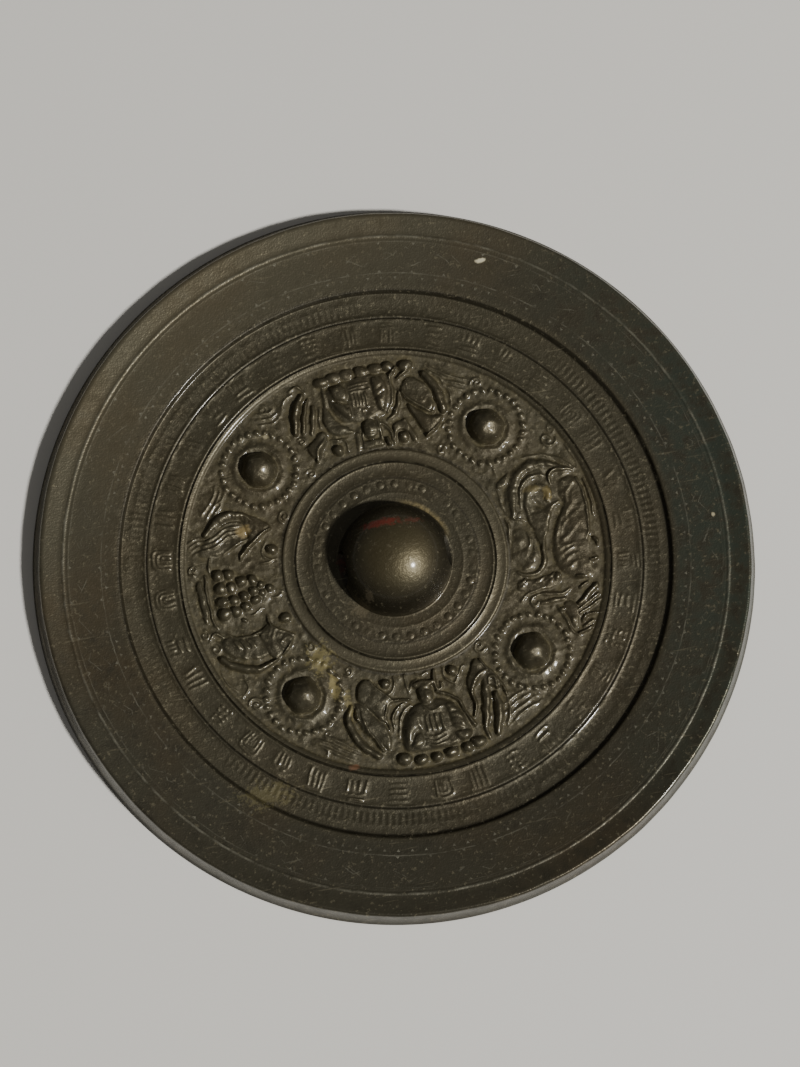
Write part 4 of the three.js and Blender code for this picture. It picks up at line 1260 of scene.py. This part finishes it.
def tinBronze():
    f = bronzeFinish
    material = bpy.data.materials.new("cast_tin_bronze_with_patina")
    material.use_nodes = True
    tree = material.node_tree
    tree.nodes.clear()
    place = addNode(tree, "TexCoord", [], 3)
    place = addNode(tree, "VectorMath", {0: place, "Scale": 1 / mm}, operation="SCALE")  # now in millimetres
    cloud = addNode(tree, "TexNoise", [place, None, 1 / f["cloudSize"], 3.0])
    mottle = addNode(tree, "TexNoise", [place, None, 1 / f["mottleSize"], 5.0, 0.62])
    fleck = addNode(tree, "TexNoise", [place, None, 1 / f["fleckSize"], 3.0, 0.6])
    grain = addNode(tree, "TexNoise", [place, None, 1 / f["grainSize"], 2.0])
    fray = addNode(tree, "TexNoise", [place, None, 1 / f["fraySize"], 4.0, 0.65])
    hollow, proud, handled = (addNode(tree, "Attribute", [], 2, attribute_name=name)
                              for name in ("hollow", "proud", "handled"))
    frieze, radius = friezeMask(tree, place, mottle)
    trueRadius, trueTurn = flatPolar(tree, place, (0, 0))
    x, _, z = addNode(tree, "SeparateXYZ", [place]).node.outputs
    onBorder = addNode(tree, "MapRange", [radius, *f["borderEdge"]])

    # noise stays near 0.5, so the first two numbers of a range set how much of the skin a tint takes

    # the patina, warmer and cooler in slow clouds, with darker spots, and browner in the relief
    warm = addNode(tree, "MapRange", [cloud, 0.44, 0.64, 0.0, f["clouds"]])
    spotted = addNode(tree, "MapRange", [mottle, 0.46, 0.68, 0.0, f["spots"]])
    inRelief = addNode(tree, "MapRange", [onBorder, 0.0, 1.0, f["reliefShade"], 0.0])
    # painted light to one side and painted shade to the other, over a patina that is also thinner and paler
    # to one side, thicker and darker to the other
    turned = addNode(tree, "Mapping", {0: place, 2: (0, 0, -math.radians(f["paintedLightSide"]))})
    towardsPaintedLight, _, _ = addNode(tree, "SeparateXYZ", [turned]).node.outputs
    thin = addNode(tree, "MapRange", [towardsPaintedLight, *f["paintedLightReach"], 0.0, f["paintedLightStrength"]])
    thin = addNode(tree, "Math", [thin, onBorder], operation="MULTIPLY")
    paintedShadeSide = addNode(tree, "MapRange", [towardsPaintedLight, *f["paintedShadeReach"], 0.0, f["paintedShadeStrength"]])
    # blue-grey on one side of the border
    side = addNode(tree, "MapRange", [x, *f["blueReach"]])
    blue = addNode(tree, "MapRange", [mottle, 0.62, 0.42, 0.1, f["blueShade"]])
    blue = addNode(tree, "Math", [side, blue], operation="MULTIPLY")
    blue = addNode(tree, "Math", [blue, onBorder], operation="MULTIPLY")
    # earth in the hollows
    patchy = addNode(tree, "Math", [mottle, fleck], operation="ADD")
    patchy = addNode(tree, "MapRange", [patchy, 0.8, 1.15, 0.1, 1.1])
    dust = addNode(tree, "Math", [hollow, patchy], operation="MULTIPLY", use_clamp=True)
    # the knob, with painted light on its rubbed top and painted shade with dirt down its flanks, the pale
    # ring of painted light and the painted shade down the side of the rim
    knob = addNode(tree, "MapRange", [z, *f["knobTop"], 0.0, f["knobTopLightStrength"]])
    paintedFlankShade = addNode(tree, "MapRange", [z, *f["knobFlank"], 0.0, f["flankShade"]])
    onKnob = addNode(tree, "MapRange", [trueRadius, *f["knobFoot"]])
    paintedFlankShade = addNode(tree, "Math", [paintedFlankShade, onKnob], operation="MULTIPLY")
    at, half, strength = f["paintedLightRing"]
    ring = addNode(tree, "Math", [lineMask(tree, trueRadius, at, half), strength], operation="MULTIPLY")
    shadedRimSide = addNode(tree, "MapRange", [trueRadius, *f["shadedRimSide"]])
    # painted shade with dark dirt along the turned grooves and the border's step
    grooveShadeAndDirt = 0.0
    for at, half, strength in f["shadeAndDirtLines"]:
        line = addNode(tree, "Math", [lineMask(tree, trueRadius, at, half), strength], operation="MULTIPLY")
        grooveShadeAndDirt = addNode(tree, "Math", [grooveShadeAndDirt, line], operation="MAXIMUM")
    broken = addNode(tree, "MapRange", [mottle, 0.66, 0.4, 0.45, 0.95])
    grooveShadeAndDirt = addNode(tree, "Math", [grooveShadeAndDirt, broken], operation="MULTIPLY")
    # rubbed edges with a painted highlight, pale flecks and fine scratches
    rubbedAndLitEdges = addNode(tree, "MapRange", [proud, 0.0, 1.0, 0.0, f["edgeWearAndHighlight"]])
    pale = addNode(tree, "MapRange", [fleck, 0.6, 0.7, 0.0, f["fleckShade"]])
    stretch = (1 / f["scratchLength"], 1 / f["scratchPitch"], 0.2)
    scratch = addNode(tree, "Mapping", {0: place, 2: (0, 0, f["scratchTurn"]), 3: stretch})
    scratch = addNode(tree, "TexNoise", [scratch, None, 1.0, 3.0, 0.6])
    scratch = addNode(tree, "MapRange", [scratch, 0.66, 0.72, 0.0, f["scratchShade"]])
    pale = addNode(tree, "Math", [pale, scratch], operation="MAXIMUM")
    # clay and cinnabar that stayed on
    ragged = addNode(tree, "Mix", {0: 0.5, 2: fray, 3: fleck})
    at, half, middle, reach, strength = f["footEarth"]
    foot = lineMask(tree, trueRadius, at, half)
    foot = addNode(tree, "Math", [foot, lineMask(tree, trueTurn, middle, reach)], operation="MULTIPLY")
    patchy = addNode(tree, "MapRange", [ragged, 0.4, 0.56, 0.15, strength])
    foot = addNode(tree, "Math", [foot, patchy], operation="MULTIPLY")
    left = []
    for centre, half, code, strength, frayed in deposits:
        away = addNode(tree, "VectorMath", [place, centre], operation="SUBTRACT")
        away = addNode(tree, "VectorMath", [away, half], operation="DIVIDE")
        away = addNode(tree, "VectorMath", [away], 1, operation="LENGTH")
        edge = addNode(tree, "MapRange", [ragged, 0.3, 0.7, -frayed, frayed])
        away = addNode(tree, "Math", [away, edge], operation="ADD")
        left.append((addNode(tree, "MapRange", [away, 0.6, 1.15, strength, 0.0]), code))

    # what lies over what, from the patina outwards
    skin = colour(f["patina"])
    for mask, code in [
            (warm, f["patinaWarm"]), (spotted, f["deepPatinaAndShade"]), (inRelief, f["reliefPatina"]),
            (thin, f["paleWearAndLight"]), (paintedShadeSide, f["deepPatinaAndShade"]), (blue, f["verdigris"]), (dust, f["earth"]),
            (knob, f["knobTopLitPatina"]), (paintedFlankShade, f["sootAndShade"]), (ring, f["paleWearAndLight"]), (shadedRimSide, f["deepPatinaAndShade"]),
            (grooveShadeAndDirt, f["sootAndShade"]), (rubbedAndLitEdges, f["paleWearAndLight"]), (pale, f["paleWearAndLight"]), (frieze, borderMarks["colour"]),
            (foot, f["clay"])] + left:
        skin = addNode(tree, "Mix", {0: mask, 6: skin, 7: colour(code)}, 2, data_type="RGBA")
    covered = dust
    for mask in [foot, shadedRimSide] + [mask for mask, _ in left]:
        covered = addNode(tree, "Math", [covered, mask], operation="MAXIMUM")

    lumps = f["lumpDepth"]
    lumps = addNode(tree, "MapRange", [onBorder, 0.0, 1.0, lumps, lumps * f["smootherBorder"]])
    lumps = addNode(tree, "Math", [lumps, fleck], operation="MULTIPLY")
    height = addNode(tree, "Math", [grain, f["grainDepth"], lumps], operation="MULTIPLY_ADD")
    bump = addNode(tree, "Bump", {"Strength": 1.0, "Distance": mm, "Height": height})
    rough = addNode(tree, "MapRange", [onBorder, 0.0, 1.0, f["reliefRoughness"], f["borderRoughness"]])
    uneven = addNode(tree, "MapRange", [mottle, 0.3, 0.7, -0.05, 0.08])
    rough = addNode(tree, "Math", [rough, uneven], operation="ADD")
    for mask, value in ((handled, f["handledRoughness"]), (proud, f["rubbedRoughness"]),
                        (shadedRimSide, f["sideRoughness"])):
        rough = addNode(tree, "Mix", {0: mask, 2: rough, 3: value})
    dull = addNode(tree, "Math", [covered, f["dirtRoughness"]], operation="MULTIPLY")
    rough = addNode(tree, "Math", [rough, dull], operation="ADD", use_clamp=True)
    metal = addNode(tree, "MapRange", [covered, 0.0, 1.0, f["metallic"], 0.0])
    shader = addNode(tree, "BsdfPrincipled", {
        "Base Color": skin, "Metallic": metal, "Roughness": rough, "Normal": bump,
        "Coat Weight": f["sheen"], "Coat Roughness": f["sheenRoughness"]})
    addNode(tree, "OutputMaterial", {"Surface": shader})
    return material


floorFinish = {
    "colour": "#d6d4cf",
    "roughness": 0.75,
    "half": 4.0,       # m
    "gap": 0.0002,     # m below the mirror
}

camera = {
    "lens": 111.3,             # mm on a 36 mm sensor
    "distance": 0.8876,        # m from the aim point
    "aim": (0.0029, 0.00739),  # m from the centre of the mirror
    "tilt": 9.758, "lean": -1.645, "turn": -11.0,   # degrees about X, Y and Z
}

lights = {
    "keyAzimuth": -38.0, "keyElevation": 50.0,  # degrees
    "keyDistance": 3.2, "keySize": 0.3,         # m
    "keyPower": 133.0,                          # W
    "keyColour": (1.0, 0.985, 0.95),
    "fill": 0.13,
    "fillColour": (1.0, 0.98, 0.94, 1.0),
}


def buildFloor():
    half = floorFinish["half"]
    mesh = bpy.data.meshes.new("floor")
    corners = [(-half, -half, 0), (half, -half, 0), (half, half, 0), (-half, half, 0)]
    mesh.from_pydata(corners, [], [(0, 1, 2, 3)])
    floor = bpy.data.objects.new("floor", mesh)
    bpy.context.scene.collection.objects.link(floor)
    floor.location.z = cadBounds[0][2] - floorFinish["gap"]
    material = bpy.data.materials.new("matt_card")
    material.use_nodes = True
    shader = material.node_tree.nodes["Principled BSDF"]
    shader.inputs["Base Color"].default_value = colour(floorFinish["colour"])
    shader.inputs["Roughness"].default_value = floorFinish["roughness"]
    mesh.materials.append(material)


def buildLights():
    a, e = math.radians(lights["keyAzimuth"]), math.radians(lights["keyElevation"])
    away = Vector((math.cos(e) * math.cos(a), math.cos(e) * math.sin(a), math.sin(e)))
    data = bpy.data.lights.new("key", "AREA")
    data.shape = "DISK"
    data.size = lights["keySize"]
    data.energy = lights["keyPower"]
    data.color = lights["keyColour"]
    key = bpy.data.objects.new("key", data)
    key.location = away * lights["keyDistance"]
    key.rotation_euler = away.to_track_quat("Z", "Y").to_euler()
    bpy.context.scene.collection.objects.link(key)
    world = bpy.data.worlds.new("studio")
    world.use_nodes = True
    fill = world.node_tree.nodes["Background"]
    fill.inputs["Color"].default_value = lights["fillColour"]
    fill.inputs["Strength"].default_value = lights["fill"]
    bpy.context.scene.world = world


def buildCamera():
    data = bpy.data.cameras.new("camera")
    data.sensor_width = 36
    data.lens = camera["lens"]
    data.clip_start = 0.01
    view = bpy.data.objects.new("camera", data)
    view.rotation_mode = "YXZ"
    view.rotation_euler = [math.radians(camera[k]) for k in ("tilt", "lean", "turn")]
    aim = Vector((*camera["aim"], 0))
    view.location = aim + view.rotation_euler.to_matrix() @ Vector((0, 0, camera["distance"]))
    bpy.context.scene.collection.objects.link(view)
    bpy.context.scene.camera = view


_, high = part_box("mirror")
frameSize = {"radius": high[0], "top": high[2]}

buildCamera()
print("camera set, carving the relief")
carving = carveRelief()
mirror = buildMirror(carving)
markWearAndDust(mirror, carving)
mirror.data.transform(Matrix.Scale(mm, 4))
mirror.data.materials.append(tinBronze())
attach(mirror, "root")
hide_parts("mirror")
print("bronze finished")
buildFloor()
buildLights()
print("floor and lights set")
